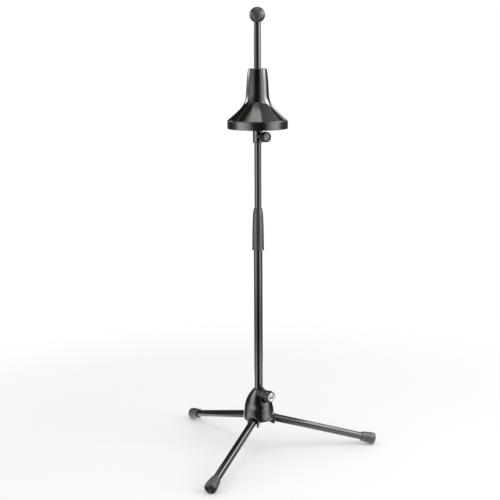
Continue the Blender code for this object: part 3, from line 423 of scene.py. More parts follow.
def outline(look, node=None, closed=True, **levels):
    # each corner is (radius, level, rise): millimetres from the axis, and above a named height,
    # where low and high are the node's own
    if node:
        levels.update(low=nodeLow(node), high=nodeTop(node))
    corners = [(radius * mm, levels[level] + rise * mm) for radius, level, rise in look["outline"]]
    return softened(corners, look["rounding"], look.get("segments", 5), closed)


def dress(node, line, body, material, steps=96, axis=upright, **shape):  # a turned skin for a node
    return finish(turned(f"{node}_skin", line, axis, material, steps, **shape), body, node)


# post: two drawn tubes with softly broken ends
postTubes = {"lower_tube": ("mast", 10.15 * mm), "upper_rod": ("rod", 7.95 * mm)}
postWall = 1.2 * mm
for node, (body, radius) in postTubes.items():
    loop = ringLoop(radius, radius - postWall, nodeLow(node), nodeTop(node), 0.25)
    dress(node, loop, body, blackEnamel, 128)

# ball on the rod's end, a moulded rubber ball with a parting line and a pulled-in mouth
ball = sizes(radius=18, mouth=8.25, line=0.12, lineWidth=0.5, overRod=0.3)
ballCentre = nodeTop("ball_tip") - ball["radius"]
boreTop = nodeTop("upper_rod") + ball["overRod"]
mouthAngle = math.asin(math.sqrt(1 - (ball["mouth"] / ball["radius"]) ** 2)) - 0.05
polar = np.linspace(math.pi / 2, -mouthAngle, 64)
ballRadius = ball["radius"] - ball["line"] + ball["line"] * np.exp(
    -(ball["radius"] * polar / ball["lineWidth"]) ** 2)  # a thin raised line round the middle
ballSide = np.stack([ballRadius * np.cos(polar), ballCentre + ballRadius * np.sin(polar)], axis=1)
ballSide[0, 0] = 0
ballMouth = softLine([ballSide[-2], ballSide[-1], (ball["mouth"], ballSide[-1, 1] - 0.3 * mm),
                      (ball["mouth"], boreTop), (0, boreTop)], [0, 0, 0.3, 0.2, 0], 4)
dress("ball_tip", np.vstack([ballSide[:-2], ballMouth]), "rod", ballRubber, 128)
print("stand: post and ball done")

# bell cone: a Bezier flare from the top plate to the ledge, then a straight band; the wall follows inside
cone = sizes(radius=70, ledge=1.8, ledgeRise=1.6, band=18.5, topRadius=21.5, wall=2.4, plateBore=12.05)
coneHandles = {"top": np.array([11.4, -75.9]) * mm, "rim": np.array([-56.5, 46.2]) * mm}
coneRim, coneTop = nodeLow("bell_cone"), nodeTop("bell_cone")
bandTop, underPlate = coneRim + cone["band"], coneTop - cone["wall"]
ledgeRadius, innerRadius = cone["radius"] - cone["ledge"], cone["radius"] - cone["wall"]

# (1-t)^3 start + 3t(1-t)^2 first + 3t^2(1-t) second + t^3 end
t = np.linspace(0, 1, 72)[:, None]
start = np.array([cone["topRadius"], coneTop])
end = np.array([ledgeRadius, coneRim + cone["band"] + cone["ledgeRise"]])
first, second = start + coneHandles["top"], end + coneHandles["rim"]
flare = (1 - t) ** 3 * start + 3 * t * (1 - t) ** 2 * first + 3 * t ** 2 * (1 - t) * second + t ** 3 * end
run = np.gradient(flare, axis=0)
run /= np.linalg.norm(run, axis=1)[:, None]
inside = flare + cone["wall"] * np.stack([run[:, 1], -run[:, 0]], axis=1)
inside = inside[(inside[:, 1] < underPlate - 1.2 * mm) & (inside[:, 1] > bandTop - 0.4 * mm)
                & (inside[:, 0] < innerRadius - 1.2 * mm)]
topCorner = softLine([(cone["plateBore"], coneTop), (cone["topRadius"], coneTop), flare[3]], [0, 0.8, 0], 6)
bandCorners = softLine([flare[-3], (ledgeRadius, bandTop + cone["ledgeRise"]), (ledgeRadius, bandTop),
                        (cone["radius"], bandTop), (cone["radius"], coneRim), (innerRadius, coneRim),
                        (innerRadius, bandTop - cone["wall"]), inside[-1]],
                       [0, 0.5, 0.3, 1.3, 0.7, 0.5, 2.0, 0], 10)
underCorner = softLine([inside[0], (cone["topRadius"] - cone["wall"], underPlate),
                        (cone["plateBore"], underPlate)], [0, 1.0, 0])
plateIn = cone["plateBore"] + 2 * mm
plateEdge = softLine([(plateIn, underPlate), (cone["plateBore"], underPlate), (cone["plateBore"], coneTop),
                      (plateIn, coneTop)], [0, 0.3, 0.4, 0], 4)
coneLoop = np.vstack([topCorner[1:-1], flare[4:-3], bandCorners[1:-1],
                      inside[::-1], underCorner[1:-1], plateEdge])
dress("bell_cone", coneLoop, "cone", glossBlack, 256)

# nylon bush at the cone's top, where the sleeve and rod come through
topBush = {"outline": [(11.75, "high", 0), (11.75, "plate", -0.3), (14.75, "plate", -0.3),
                       (14.75, "plate", -2.3), (11.75, "plate", -2.3), (10.25, "low", 0), (8.25, "low", 0),
                       (8.25, "high", 0)], "rounding": 0.35, "segments": 4}
dress("cone_top_bush", outline(topBush, "cone_top_bush", plate=underPlate), "cone", blackNylon)

# spider inside the rim: ring, six arms and hub; ring and arms are thinner than the hub
spider = sizes(outer=67.3, inner=64.3, hub=17.0, hubBore=11.45, armWidth=4.0, thinner=0.6)
spiderArms = 6
hubLow, hubHigh = nodeLow("cone_spider"), nodeTop("cone_spider")
armLow, armHigh = hubLow + spider["thinner"], hubHigh - spider["thinner"]
finish(turned("cone_spider_ring", ringLoop(spider["outer"], spider["inner"], armLow, armHigh, 0.6),
              upright, blackNylon, 192), "cone", "cone_spider")
finish(turned("cone_spider_hub", ringLoop(spider["hub"], spider["hubBore"], hubLow, hubHigh, 0.6),
              upright, blackNylon), "cone")
reach = np.linspace(spider["hub"] - 2 * mm, spider["outer"] - 1.5 * mm, 24)
armPath = np.stack([reach, 0 * reach, 0 * reach + (armLow + armHigh) / 2], axis=1)
half, tall = spider["armWidth"] / 2, (armHigh - armLow) / 2 - 0.3 * mm
armLoop = softened([(-half, -tall), (half, -tall), (half, tall), (-half, tall)], 0.6, 3)
swell = 1 + 0.5 * np.exp(-(reach - reach[0]) / (6 * mm)) + 0.5 * np.exp((reach - reach[-1]) / (5 * mm))
for i in range(spiderArms):
    turn = Matrix.Rotation(2 * math.pi * i / spiderArms, 4, "Z")
    finish(sweptLoop(f"cone_spider_arm_{i + 1}", armPath, swell[:, None] * np.array([[0, 1.0, 0]]),
                     np.tile([0.0, 0.0, 1.0], (24, 1)), armLoop, upright @ turn, blackNylon), "cone")

# circlip that holds the spider on its sleeve
circlip = {"outer": 14.0 * mm, "inner": 11.45 * mm, "gap": math.radians(24)}
clipLoop = ringLoop(circlip["outer"], circlip["inner"], nodeLow("cone_circlip"), nodeTop("cone_circlip"), 0.2)
finish(splitRing("cone_circlip_skin", clipLoop, circlip["gap"], zincSteel), "cone", "cone_circlip")
print("stand: bell cone done")

# sleeve under the cone, with its flange and the boss for the clamp screw
clamp = {"outline": [(11.15, "high", 0), (11.15, "hub", -0.3), (15.5, "hub", -0.3), (15.5, "hub", -3.3),
                     (11.15, "hub", -3.3), (11.15, "low", 0), (9.25, "low", 0), (9.25, "high", 0)],
         "rounding": [0.3, 0.3, 0.5, 0.6, 0.9, 0.8, 0.4, 0.3],
         "boss": sizes(radius=7.6, bore=3.3, start=4, reach=22), "bossEdge": 0.7, "bossRoot": 10.25 * mm}
clampAxis = outwardAxis(knobAzimuth, boxMiddle("clamp_pad").z)
dress("clamp_sleeve", outline(clamp, "clamp_sleeve", hub=hubLow), "cone", glossBlack, 128)


def saddle(radiusAt):
    # lifts points off the post until they lie in the wall behind: z = sqrt(R(height)^2 - side^2)
    def bend(points):
        wall = radiusAt(points[:, 0])
        points[:, 2] = np.maximum(points[:, 2], np.sqrt(np.maximum(wall ** 2 - points[:, 1] ** 2, 0)))
        return points
    return bend


def bossLoop(boss, edge):  # a thick-walled tube along its own axis, with a rounded face
    radius, bore, face, rounding = boss["radius"], boss["bore"], boss["reach"], edge * mm
    flank = np.linspace(boss["start"], face - 2 * rounding, 14)
    rim = softLine([(radius, face - 3 * rounding), (radius, face), (bore, face), (bore, face - 3 * rounding)],
                   [0, edge, 0.4 * edge, 0], 6)
    return np.vstack([np.stack([0 * flank + radius, flank], axis=1), rim[1:-1],
                      np.stack([0 * flank + bore, flank[::-1]], axis=1)])


finish(turned("clamp_boss_skin", bossLoop(clamp["boss"], clamp["bossEdge"]), clampAxis, glossBlack, 96,
              bend=saddle(lambda height: 0 * height + clamp["bossRoot"])), "cone")

# thin nylon liner whose lip shows under the sleeve
liner = {"outline": [(8.95, "high", 0), (8.95, "low", 1.0), (10.35, "low", 1.0), (10.35, "low", 0),
                     (8.25, "low", 0), (8.25, "high", 0)], "rounding": 0.25, "segments": 4}
dress("cone_liner", outline(liner, "cone_liner"), "liner", blackNylon)


def flutedKnob(name, look, axis, material):
    # a flank that narrows from the back to the face
    # flutes: radius - depth * ((1 - cos(n angle)) / 2) ^ sharpness
    back, face, edge = look["back"], look["back"] + look["thickness"], look["edge"] * mm
    flank = np.linspace(2.6 * edge, look["thickness"] - 2.6 * edge, 10) / look["thickness"]
    width = look["radius"] + (look["faceRadius"] - look["radius"]) * flank
    corners = [(look["bore"], back), (look["radius"], back), *zip(width, back + flank * look["thickness"]),
               (look["faceRadius"], face), (look["seatRadius"], face),
               (look["seatRadius"], look["seat"]), (look["bore"], look["seat"])]
    radii = [0.2, look["edge"]] + [0] * 10 + [look["edge"], look["faceEdge"], 0.2, 0.2]

    def flutes(radius, height, angle):
        inner = look["seatRadius"] + 0.5 * mm
        fade = np.clip((radius - inner) / (look["faceRadius"] - 0.8 * edge - inner), 0, 1)
        lobe = (1 - np.cos(look["flutes"] * angle)) / 2
        return radius - look["depth"] * fade * lobe ** look["sharpness"]
    return turned(name, softened(corners, radii, 8), axis, material, 288, ripple=flutes)


def dishedCap(name, look, axis, material):
    # a button with a rolled edge and a round groove about a flat middle
    low, high, radius, dish = look["low"], look["high"], look["radius"], look["dish"]
    corners = [(0, high - 0.1 * dish), (0.22 * radius, high - 0.1 * dish), (0.37 * radius, high - dish),
               (0.46 * radius, high - dish), (0.61 * radius, high - 0.05 * dish), (0.88 * radius, high),
               (radius, high - 0.35 * (high - low)), (radius, low), (0, low)]
    return turned(name, softLine(corners, [0, 0.5, 0.4, 0.4, 0.6, 1.6, 0.8, 0.2, 0], 6), axis, material)


def knobAndCap(body, look, cap, axis, capFinish):
    finish(flutedKnob(f"{body}_skin", look, axis, knobBlack), body, body)
    finish(dishedCap(f"{body}_cap_skin", cap, axis, capFinish), body, f"{body}_cap")


# clamp knob: round, finely ribbed, with a grey button
clampKnob = {**sizes(radius=12.2, faceRadius=12.1, thickness=13.7, back=22.3, depth=0.45, bore=3.3,
                     seatRadius=8.1, seat=32.5), "flutes": 36, "sharpness": 1.0, "edge": 2.4, "faceEdge": 0.8}
knobAndCap("clamp_knob", clampKnob, sizes(radius=7.8, low=32.8, high=34.8, dish=0.25), clampAxis, capGrey)
print("stand: clamp done")

# twist clutch: a long sleeve that swells downward to a lip
clutch = {"outline": [(9.2, "high", 0), (10.1, "high", -1.2), (11.0, "high", -6.5), (11.9, "high", -14),
                      (12.67, "tube", 11.7), (13.3, "tube", -7.2), (13.8, "low", 4.5), (14.2, "low", 3),
                      (14.2, "low", 0), (12.0, "low", 0), (12.0, "tube", -27.5), (11.3, "tube", -26.5),
                      (11.3, "tube", 18), (10.1, "tube", 20), (10.1, "high", -8.2), (8.35, "high", -5),
                      (8.35, "high", 0)],
          "rounding": [0.5, 1.6, 9, 9, 14, 14, 1.0, 0.8, 0.6] + [0.4] * 8, "segments": 6}
tubeTop = nodeTop("lower_tube")
dress("clutch_sleeve", outline(clutch, "clutch_sleeve", tube=tubeTop), "sleeve", gripSkin, 128)
ferrule = {"outline": [(11.0, "high", 0), (11.0, "low", 0), (10.45, "low", 0), (10.45, "tube", 0.3),
                       (8.35, "tube", 0.3), (8.35, "high", -11.5), (10.1, "high", 0)],
           "rounding": 0.15, "segments": 3}
dress("clutch_ferrule", outline(ferrule, "clutch_ferrule", tube=tubeTop), "mast", blackNylon)
print("stand: clutch done")

# socket: a dome over the legs, cut by three arched slots with raised frames
socket = {**sizes(radius=37.3, wall=3.2, dome=68, lip=5, neck=13.9, neckLength=13.5, bore=12.3, slotHalf=9.7,
                  earThickness=4.5, roof=6.0, earDrop=14.2, innerDrop=5.5, reach=37.8, innerReach=18,
                  roofFrom=32.2, foot=4, slotGap=1.5, cutDown=40, cutPast=6), "curve": 2.5, "steps": 288}
skirt = pinHeight + 2.3 * mm
socketTop = skirt + socket["dome"]
domeRise = socket["dome"] / (1 - socket["neck"] / socket["radius"]) ** (1 / socket["curve"])


def domeRadius(height):  # R (1 - (height / rise)^curve), height counted from the skirt
    height = np.clip(height - skirt, 0, socket["dome"])
    return socket["radius"] * (1 - (height / domeRise) ** socket["curve"])


climb = np.sin(np.linspace(math.pi / 2, 0, 44)) * socket["dome"] + skirt
outerDome = np.stack([domeRadius(climb), climb], axis=1)
lipAngle = np.linspace(0, math.pi / 2, 10)[1:]
outerLip = np.stack([socket["radius"] - 0.9 * socket["wall"] * (1 - np.cos(lipAngle)),
                     skirt - socket["lip"] * np.sin(lipAngle)], axis=1)
ceiling = socketTop - socket["neckLength"]
innerClimb = np.linspace(skirt, ceiling, 24)
innerDome = np.stack([domeRadius(innerClimb) - socket["wall"], innerClimb], axis=1)
neckIn = softLine([innerDome[-2], (domeRadius(np.array(ceiling)) - socket["wall"], ceiling),
                   (socket["bore"], ceiling), (socket["bore"], socketTop), (outerDome[0, 0], socketTop),
                   outerDome[2]], [0, 1.5, 0.3, 0.3, 0.5, 0], 4)
shellLoop = np.vstack([outerDome[2:], outerLip, [(socket["radius"] - socket["wall"], skirt - socket["lip"])],
                       innerDome[:-1], neckIn[1:-1]])

# the slots' crowns clear the leg tubes where they leave the dome
legRadius, legGap = 9.2 * mm, 0.5 * mm
crown = (legRadius / math.cos(legSlope)
         - (socket["radius"] - socket["wall"] - pinReach) * math.tan(legSlope) + legGap)


def archLine(halfWidth, top, foot, count):
    # a half circle on two straight sides, as (up, side)
    sweep = np.linspace(0, math.pi, count)
    side = np.concatenate([[-halfWidth], -halfWidth * np.cos(sweep), [halfWidth]])
    up = np.concatenate([[foot], top - halfWidth + halfWidth * np.sin(sweep), [foot]])
    return np.stack([up, side], axis=1)


def archCutter(name, axis, halfWidth, top, foot, low, high):
    line = archLine(halfWidth, top, foot, 40)
    count = len(line)
    points = np.vstack([np.column_stack([line, np.full(count, z)]) for z in (low, high)])
    ring = np.arange(count)
    sides = np.stack([ring, np.roll(ring, -1), np.roll(ring, -1) + count, ring + count], axis=1)
    return makeMesh(name, placed(points, axis), [sides, ring[None, ::-1], ring[None, :] + count], glossBlack)


shell = turned("base_socket_dome", shellLoop, upright, glossBlack, socket["steps"])
cutters = []
for i, azimuth in enumerate(legAzimuths):
    cutter = archCutter(f"slot_cut_{i + 1}", outwardAxis(azimuth, pinHeight),
                        socket["slotHalf"] + socket["slotGap"], crown + socket["slotGap"],
                        -socket["cutDown"], socket["innerReach"], socket["reach"] + socket["cutPast"])
    cutters.append(cutter)
    step = shell.modifiers.new(cutter.name, "BOOLEAN")
    step.operation = "DIFFERENCE"
    step.solver = "EXACT"
    step.object = cutter
bpy.context.view_layer.update()
openShell = bpy.data.meshes.new_from_object(shell.evaluated_get(bpy.context.evaluated_depsgraph_get()))
shell.modifiers.clear()
shell.data = openShell
for cutter in cutters:
    bpy.data.objects.remove(cutter, do_unlink=True)
finish(shell, "base", "base_socket")


def slotFrame(name, axis):
    # the slot's frame: across = from the inner arch to the outer arch, outward = from inner reach to the face
    # feet follow the shaved underside, and both ends of each leg are rounded by shrinking rings
    inner = archLine(socket["slotHalf"], crown, 0, 49)[1:-1]
    outer = archLine(socket["slotHalf"] + socket["earThickness"], crown + socket["roof"], 0, 49)[1:-1]
    near, far, width = socket["innerReach"], socket["reach"], socket["earThickness"]
    edge = 1.1 * mm
    box = softened([(0, near), (width, near), (width, far), (0, far)], 1.1)
    corner = len(box) // 4
    extra = np.linspace(near + 2 * edge, far - 2 * edge, 10)
    ring = np.vstack([box[corner:2 * corner], np.stack([0 * extra + width, extra], axis=1),
                      box[2 * corner:], np.stack([0 * extra, extra[::-1]], axis=1), box[:corner]])
    share, reach = ring[:, 0] / width, ring[:, 1]
    slope = (socket["earDrop"] - socket["innerDrop"]) / (far - socket["foot"] - near)
    foot = -np.minimum(socket["earDrop"], socket["innerDrop"] + slope * (reach - near))
    arch = inner[:, None, :] * (1 - share[None, :, None]) + outer[:, None, :] * share[None, :, None]

    def legRings(up, side):  # down to the foot, then shrinking to round it off
        rings = [np.stack([up + s * (foot + edge - up), side, reach], axis=1)
                 for s in np.linspace(0, 1, 14)[1:]]
        for a in np.linspace(0, math.pi / 2, 6)[1:]:
            shrink = edge * (1 - math.cos(a))
            rings.append(np.stack([
                foot + edge - edge * math.sin(a),
                side.mean() + (side - side.mean()) * (1 - shrink / (width / 2)),
                reach.mean() + (reach - reach.mean()) * (1 - shrink / ((far - near) / 2))], axis=1))
        return rings

    # over the heel's swing the roof keeps to the outer end: its depth is squeezed by a smooth step
    overHeel = np.clip(np.sin(np.linspace(0, math.pi, len(arch))) / 0.7, 0, 1) ** 2
    overHeel = overHeel * overHeel * (3 - 2 * overHeel)
    squeeze = (far - socket["roofFrom"]) / (far - near)
    vault = [np.stack([row[:, 0], row[:, 1], far - (far - reach) * (1 + over * (squeeze - 1))], axis=1)
             for row, over in zip(arch, overHeel)]
    grid = legRings(*arch[0].T)[::-1] + vault + legRings(*arch[-1].T)
    return tube(name, np.array(grid), axis, glossBlack)


for i, azimuth in enumerate(legAzimuths):
    finish(slotFrame(f"base_socket_frame_{i + 1}", outwardAxis(azimuth, pinHeight)), "base")

# boss for the lock screw, grown out of the dome
lock = {"boss": sizes(radius=12, bore=4.3, start=16.5, reach=37), "bossEdge": 1.2, "sunk": 1.6 * mm}
lockHeight = boxMiddle("lock_pad").z
lockAxis = outwardAxis(knobAzimuth, lockHeight)


def underDome(height):  # the wall that the boss is sunk into, at a height from the knob's axis
    height = height + lockHeight
    return np.where(height < socketTop, domeRadius(height) - lock["sunk"], 0)


finish(turned("lock_boss_skin", bossLoop(lock["boss"], lock["bossEdge"]), lockAxis, bossBlack, 128,
              bend=saddle(underDome)), "base")

# split bush round the post
bush = {"outline": [(12.8, "high", 0), (12.8, "high", -1.6), (12.0, "high", -1.6), (12.0, "low", 0),
                    (10.45, "low", 0), (10.45, "high", 0)],
        "rounding": 0.35, "segments": 4, "slit": math.radians(7.6)}
finish(splitRing("socket_bush_skin", outline(bush, "socket_bush"), bush["slit"], blackNylon, 96),
       "bush", "socket_bush")

# lock knob: deep flutes and a bright button
lockKnob = {**sizes(radius=15, faceRadius=13.5, thickness=10, back=37.3, depth=1.35, bore=4.3,
                    seatRadius=11.1, seat=45.5), "flutes": 12, "sharpness": 0.8, "edge": 1.1, "faceEdge": 0.6}
knobAndCap("lock_knob", lockKnob, sizes(radius=10.8, low=45.8, high=49.4, dish=1.1), lockAxis, brightChrome)

# spreader plug at the post's foot, which the leg heels bear against
spreader = {"outline": [(0, "high", 0), (8.65, "high", 0), (8.65, "low", 6), (14, "low", 6), (14, "low", 0),
                        (0, "low", 0)], "rounding": [0, 0.9, 0.3, 0.9, 0.7, 0]}
dress("spreader", outline(spreader, "spreader", False), "mast", blackNylon)
print("stand: socket done")

# legs: tube, nylon heel, pin and rubber boot; heights run down the leg from its pin
leg = sizes(length=271.6, wall=1.2, tubeStart=3.5, sole=9, heelReach=20, heelHalfHeight=4.2,
            heelHalfWidth=6, knuckle=9, spigotLength=25, gap=0.3, heelTip=2.4)
boot = sizes(length=36, radius=14.4, mouth=11.7, neck=7, rounding=6, bead=0.35, beadAt=3.4, beadWidth=0.6,
             bore=9.5)
pin = {"outline": [(0, "head", 1.3), (2.6, "head", 1.0), (4.0, "head", 0), (2.5, "head", 0),
                   (2.5, "tail", 0), (4.0, "tail", 0), (2.6, "tail", -1.0), (0, "tail", -1.3)],
       "rounding": [0, 1.2, 0.3, 0, 0, 0.3, 1.2, 0], "halfLength": 14.25 * mm}
bootStart = leg["length"] - boot["length"]


def bootProfile():
    # straight neck, an even taper to the widest part, a rounded edge and a dished sole
    end, rounding = leg["length"], boot["rounding"]
    corner = np.linspace(math.pi / 2, 0, 14)
    edge = np.stack([boot["radius"] - rounding + rounding * np.cos(corner),
                     end - rounding + rounding * np.sin(corner)], axis=1)
    taper = np.linspace(0.0, 1.0, 30)[1:]
    along = end - 2 * rounding + taper * (bootStart + boot["neck"] - end + 2 * rounding)
    neckRadius = boot["mouth"] + 0.25 * (boot["radius"] - boot["mouth"])
    flank = np.stack([boot["radius"] + (neckRadius - boot["radius"]) * taper, along], axis=1)
    mouth = softLine([(neckRadius, bootStart + boot["neck"]), (boot["mouth"], bootStart),
                      (boot["bore"], bootStart), (boot["bore"], end - leg["sole"]), (0, end - leg["sole"])],
                     [0, 0.8, 0.5, 0.3, 0])
    return np.vstack([[(0, end)], edge, flank, mouth[1:]])


def mouthRing(radius, height, angle):
    # a shallow ring round the mouth of the boot: radius - depth * e^-((height - place) / width)^2
    near = (np.abs(height - bootStart - 2.4 * mm) < 3 * mm) & (radius > boot["mouth"] - 1 * mm)
    dip = boot["bead"] * np.exp(-((height - bootStart - boot["beadAt"]) / boot["beadWidth"]) ** 2)
    return np.where(near, radius - dip, radius)


def flatten(axis):
    # whatever would lie under the floor is pressed up to it
    back = np.array(axis.to_3x3())
    origin = np.array(axis.translation)

    def bend(points):
        world = points @ back.T + origin
        world[:, 2] = np.maximum(world[:, 2], 0.0)
        return (world - origin) @ back
    return bend


def heelProfile():  # a spigot in the tube and a round knuckle about the pin
    spigot, shoulder = legRadius - leg["wall"] - leg["gap"], leg["tubeStart"] - leg["gap"]
    spigotEnd = leg["tubeStart"] + leg["spigotLength"]
    sweep = np.linspace(math.asin(shoulder / leg["knuckle"]), -math.pi / 2, 24)
    knuckle = leg["knuckle"] * np.stack([np.cos(sweep), np.sin(sweep)], axis=1)
    knuckle[-1, 0] = 0
    return np.vstack([softLine([(0, spigotEnd), (spigot, spigotEnd), (spigot, shoulder), knuckle[0]],
                               [0, 1, 0.2, 0])[:-1], knuckle])


def heelBar(name, axis):  # the bar that the spreader presses, narrowed to a rounded tip
    along = np.linspace(0, -leg["heelReach"], 20)
    tip = np.clip((np.abs(along) - leg["heelReach"] + leg["heelTip"]) / leg["heelTip"], 0, 1)
    shrink = (1 - 0.45 * (1 - np.sqrt(1 - tip ** 2 * 0.98)))[:, None]
    tall, wide = leg["heelHalfHeight"], leg["heelHalfWidth"]
    loop = softened([(-tall, -wide), (tall, -wide), (tall, wide), (-tall, wide)], 1.1, 4)
    return sweptLoop(name, np.stack([0 * along, 0 * along, along], axis=1), shrink * np.array([[1.0, 0, 0]]),
                     shrink * np.array([[0, 1.0, 0]]), loop, axis, blackNylon)


tubeEnd = leg["length"] - leg["sole"] - leg["gap"]
tubeLoop = ringLoop(legRadius, legRadius - leg["wall"], leg["tubeStart"], tubeEnd)
pinLine = outline(pin, closed=False, head=pin["halfLength"], tail=-pin["halfLength"])
for i, azimuth in enumerate(legAzimuths):
    name, axis = f"leg_{i + 1}", outwardAxis(azimuth, pinHeight, pinReach, legSlope)
    dress(f"{name}_tube", tubeLoop, name, blackEnamel, 128, axis)
    dress(f"{name}_foot", bootProfile(), name, bootRubber, 128, axis, ripple=mouthRing, bend=flatten(axis))
    dress(f"{name}_heel", heelProfile(), name, blackNylon, 96, axis)
    finish(heelBar(f"{name}_heel_bar", axis), name)
    dress(f"{name}_pin", pinLine, "base", zincSteel, 48, axis @ Matrix.Rotation(math.pi / 2, 4, "X"))
print("stand: legs done")

# nodes that stay as they are get their finish
keptFinishes = {blackNylon: ("clutch_collet", "rod_guide"), zincSteel: ("lock_screw", "clamp_screw"),
                turnedBrass: ("lock_insert", "lock_pad", "clamp_insert", "clamp_pad")}
for material, nodes in keptFinishes.items():
    for node in nodes:
        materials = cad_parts[node].data.materials
        materials.clear()
        materials.append(material)
print("stand: kept nodes finished")

# studio: a pale floor that turns to plain white with distance, soft light, and panels for the gloss
photoTurn = math.radians(22.304)
studioAxis = upright @ Matrix.Rotation(photoTurn, 4, "Z")  # X to the camera's right, -Y towards the camera
studio = {"surround": 0.62, "floorColour": 0.80, "floorLift": 0.22, "floorReach": 30.0,
          "whiteFrom": 0.5, "whiteAt": 1.3}


class StageFinish(Nodes):
    def __init__(self, name):
        self.material = bpy.data.materials.new(name)
        super().__init__(self.material)
        self.nodes.clear()
        self.output = self.nodes.new("ShaderNodeOutputMaterial")

    def profile(self, value, points, peak, low=-180, high=180):
        # straight lines through (value, level) points
        node = self.nodes.new("ShaderNodeFloatCurve")
        curve = node.mapping.curves[0]
        places = [((v - low) / (high - low), level / peak) for v, level in points]
        for extra in places[2:]:
            curve.points.new(*extra)
        for point, place in zip(curve.points, sorted(places)):
            point.location = place
            point.handle_type = "VECTOR"
        node.mapping.update()
        self.link(self.band(value, low, high), node.inputs["Value"])
        return self.times(node.outputs["Value"], peak)

    def byHeight(self, value, points, peak):
        return self.profile(value, points, peak, 0, 2.5)

    def window(self, value, rise, fall):  # up softly over the first pair, down over the second
        return self.times(self.ease(value, *rise), self.ease(value, *fall, 1.0, 0.0))

    def round(self):  # azimuth in degrees, positive to the camera's right, and distance from the post
        x, y, z = self.split(self.place())
        azimuth = self.math("DEGREES", self.math("ARCTAN2", x, self.times(y, -1.0)))
        away = self.math("SQRT", self.plus(self.times(x, x), self.times(y, y)))
        return azimuth, away, x, y, z

    def glow(self, strength, colour=(1, 1, 1)):
        emission = self.nodes.new("ShaderNodeEmission")
        emission.inputs["Color"].default_value = (*colour, 1)
        self.link(strength, emission.inputs["Strength"])
        return emission.outputs["Emission"]

    def mix(self, factor, first, second):
        node = self.nodes.new("ShaderNodeMixShader")
        for socket, source in zip(node.inputs, (factor, first, second)):
            self.link(source, socket)
        return node.outputs["Shader"]

    def show(self, shader):
        self.link(shader, self.output.inputs["Surface"])
        return self.material

    def glowUnderneath(self, share, level):  # lit on the underside alone, clear elsewhere
        underside = self.nodes.new("ShaderNodeNewGeometry").outputs["Backfacing"]
        clear = self.nodes.new("ShaderNodeBsdfTransparent").outputs["BSDF"]
        return self.show(self.mix(self.times(share, underside), clear, self.glow(level)))


def stageMesh(name, points, faces, material):
    mesh = bpy.data.meshes.new(name)
    mesh.from_pydata([tuple(p) for p in points], [], [tuple(f) for f in faces])
    mesh.materials.append(material)
    thing = bpy.data.objects.new(name, mesh)
    bpy.context.scene.collection.objects.link(thing)
    thing.matrix_world = studioAxis
    return thing


def sheet(name, across, back, height, material):
    (left, right), (near, far) = across, back
    corners = ((left, near), (right, near), (right, far), (left, far))
    return stageMesh(name, [(x, y, height) for x, y in corners], [(0, 1, 2, 3)], material)


def floorFinish():
    # lit paper with a little lift, so the shadow stays; far from the stand it is plain white
    f = StageFinish("studio floor")
    paper = f.nodes.new("ShaderNodeBsdfDiffuse")
    paper.inputs["Color"].default_value = (studio["floorColour"],) * 3 + (1,)
    both = f.nodes.new("ShaderNodeAddShader")
    f.link(paper.outputs["BSDF"], both.inputs[0])
    f.link(f.glow(studio["floorLift"]), both.inputs[1])
    white = f.ease(f.round()[1], studio["whiteFrom"], studio["whiteAt"])
    seen = f.mix(white, both.outputs["Shader"], f.glow(1.0))
    return f.show(f.mix(f.seenRays(), paper.outputs["BSDF"], seen))


wide = (-studio["floorReach"], studio["floorReach"])
sheet("studio_floor", wide, wide, 0, floorFinish())

world = bpy.data.worlds.new("studio surround")
bpy.context.scene.world = world
surround = Nodes(world)
background = surround.nodes["Background"].inputs
surround.link(surround.band(surround.seenRays(), 0, 1, studio["surround"], 1.0), background["Strength"])
background["Color"].default_value = (1, 1, 1, 1)

# soft boxes: azimuth round the post from the camera's side, positive to the camera's right,
# height, distance, width, tallness, radiance and the height aimed at
softBoxes = {"soft_box_left": (-56, 1.05, 2.1, 1.15, 2.0, 0.9, 0.75),
             "soft_box_right": (66, 1.15, 2.1, 1.15, 2.0, 3.0, 0.75),
             "soft_box_top": (10, 2.9, 0.5, 1.3, 1.3, 2.0, 0.6),
             "soft_box_back": (165, 1.5, 2.3, 1.0, 1.3, 0.8, 0.75)}
for name, (azimuth, height, distance, width, tall, radiance, aim) in softBoxes.items():
    light = bpy.data.lights.new(name, "AREA")
    light.shape = "RECTANGLE"
    light.size, light.size_y = width, tall
    light.energy = radiance * math.pi * width * tall
    lamp = bpy.data.objects.new(name, light)
    bpy.context.scene.collection.objects.link(lamp)
    turn = math.radians(azimuth)
    lamp.location = studioAxis @ Vector((distance * math.sin(turn), -distance * math.cos(turn), height))
    toward = Vector((poleX, poleY, aim)) - lamp.location
    lamp.rotation_euler = toward.to_track_quat("-Z", "Y").to_euler()
    lamp.visible_camera = False
    lamp.visible_glossy = False

# what the gloss reflects: light panels with soft sides between dark flags, seen by reflections alone.
# the pairs are (degrees or metres, level); degrees are positive to the camera's right
tent = {"distance": 2.0, "top": 2.45, "floor": 0.004, "peak": 8.0,
        "round": [(-180, 0.1), (-125, 0.1), (-104, 0.3), (-92, 1.4), (-82, 3.1), (-70, 3.4), (-56, 2.9),
                  (-42, 2.1), (-31, 0.7), (-20, 0.1), (12, 0.1), (22, 0.5), (33, 2.1), (46, 4.1), (60, 5.5),
                  (76, 4.7), (86, 1.6), (94, 0.7), (104, 0.4), (122, 0.15), (180, 0.1)],
        "leftByHeight": [(0, 1.25), (0.2, 1.35), (0.35, 1.8), (0.65, 1.75), (0.80, 0.85), (1.0, 0.82),
                         (1.25, 0.62), (1.6, 0.4), (2.5, 0.4)],
        "turnByHeight": [(0, 0.0), (0.2, 0.0), (0.32, 8.0), (0.62, 8.0), (0.76, 2.0), (0.9, 0.0), (2.5, 0.0)],
        "floorByDistance": [(0, 1.0), (0.75, 1.0), (0.95, 0.65), (1.3, 0.6), (1.9, 1.0), (2.5, 1.0)]}
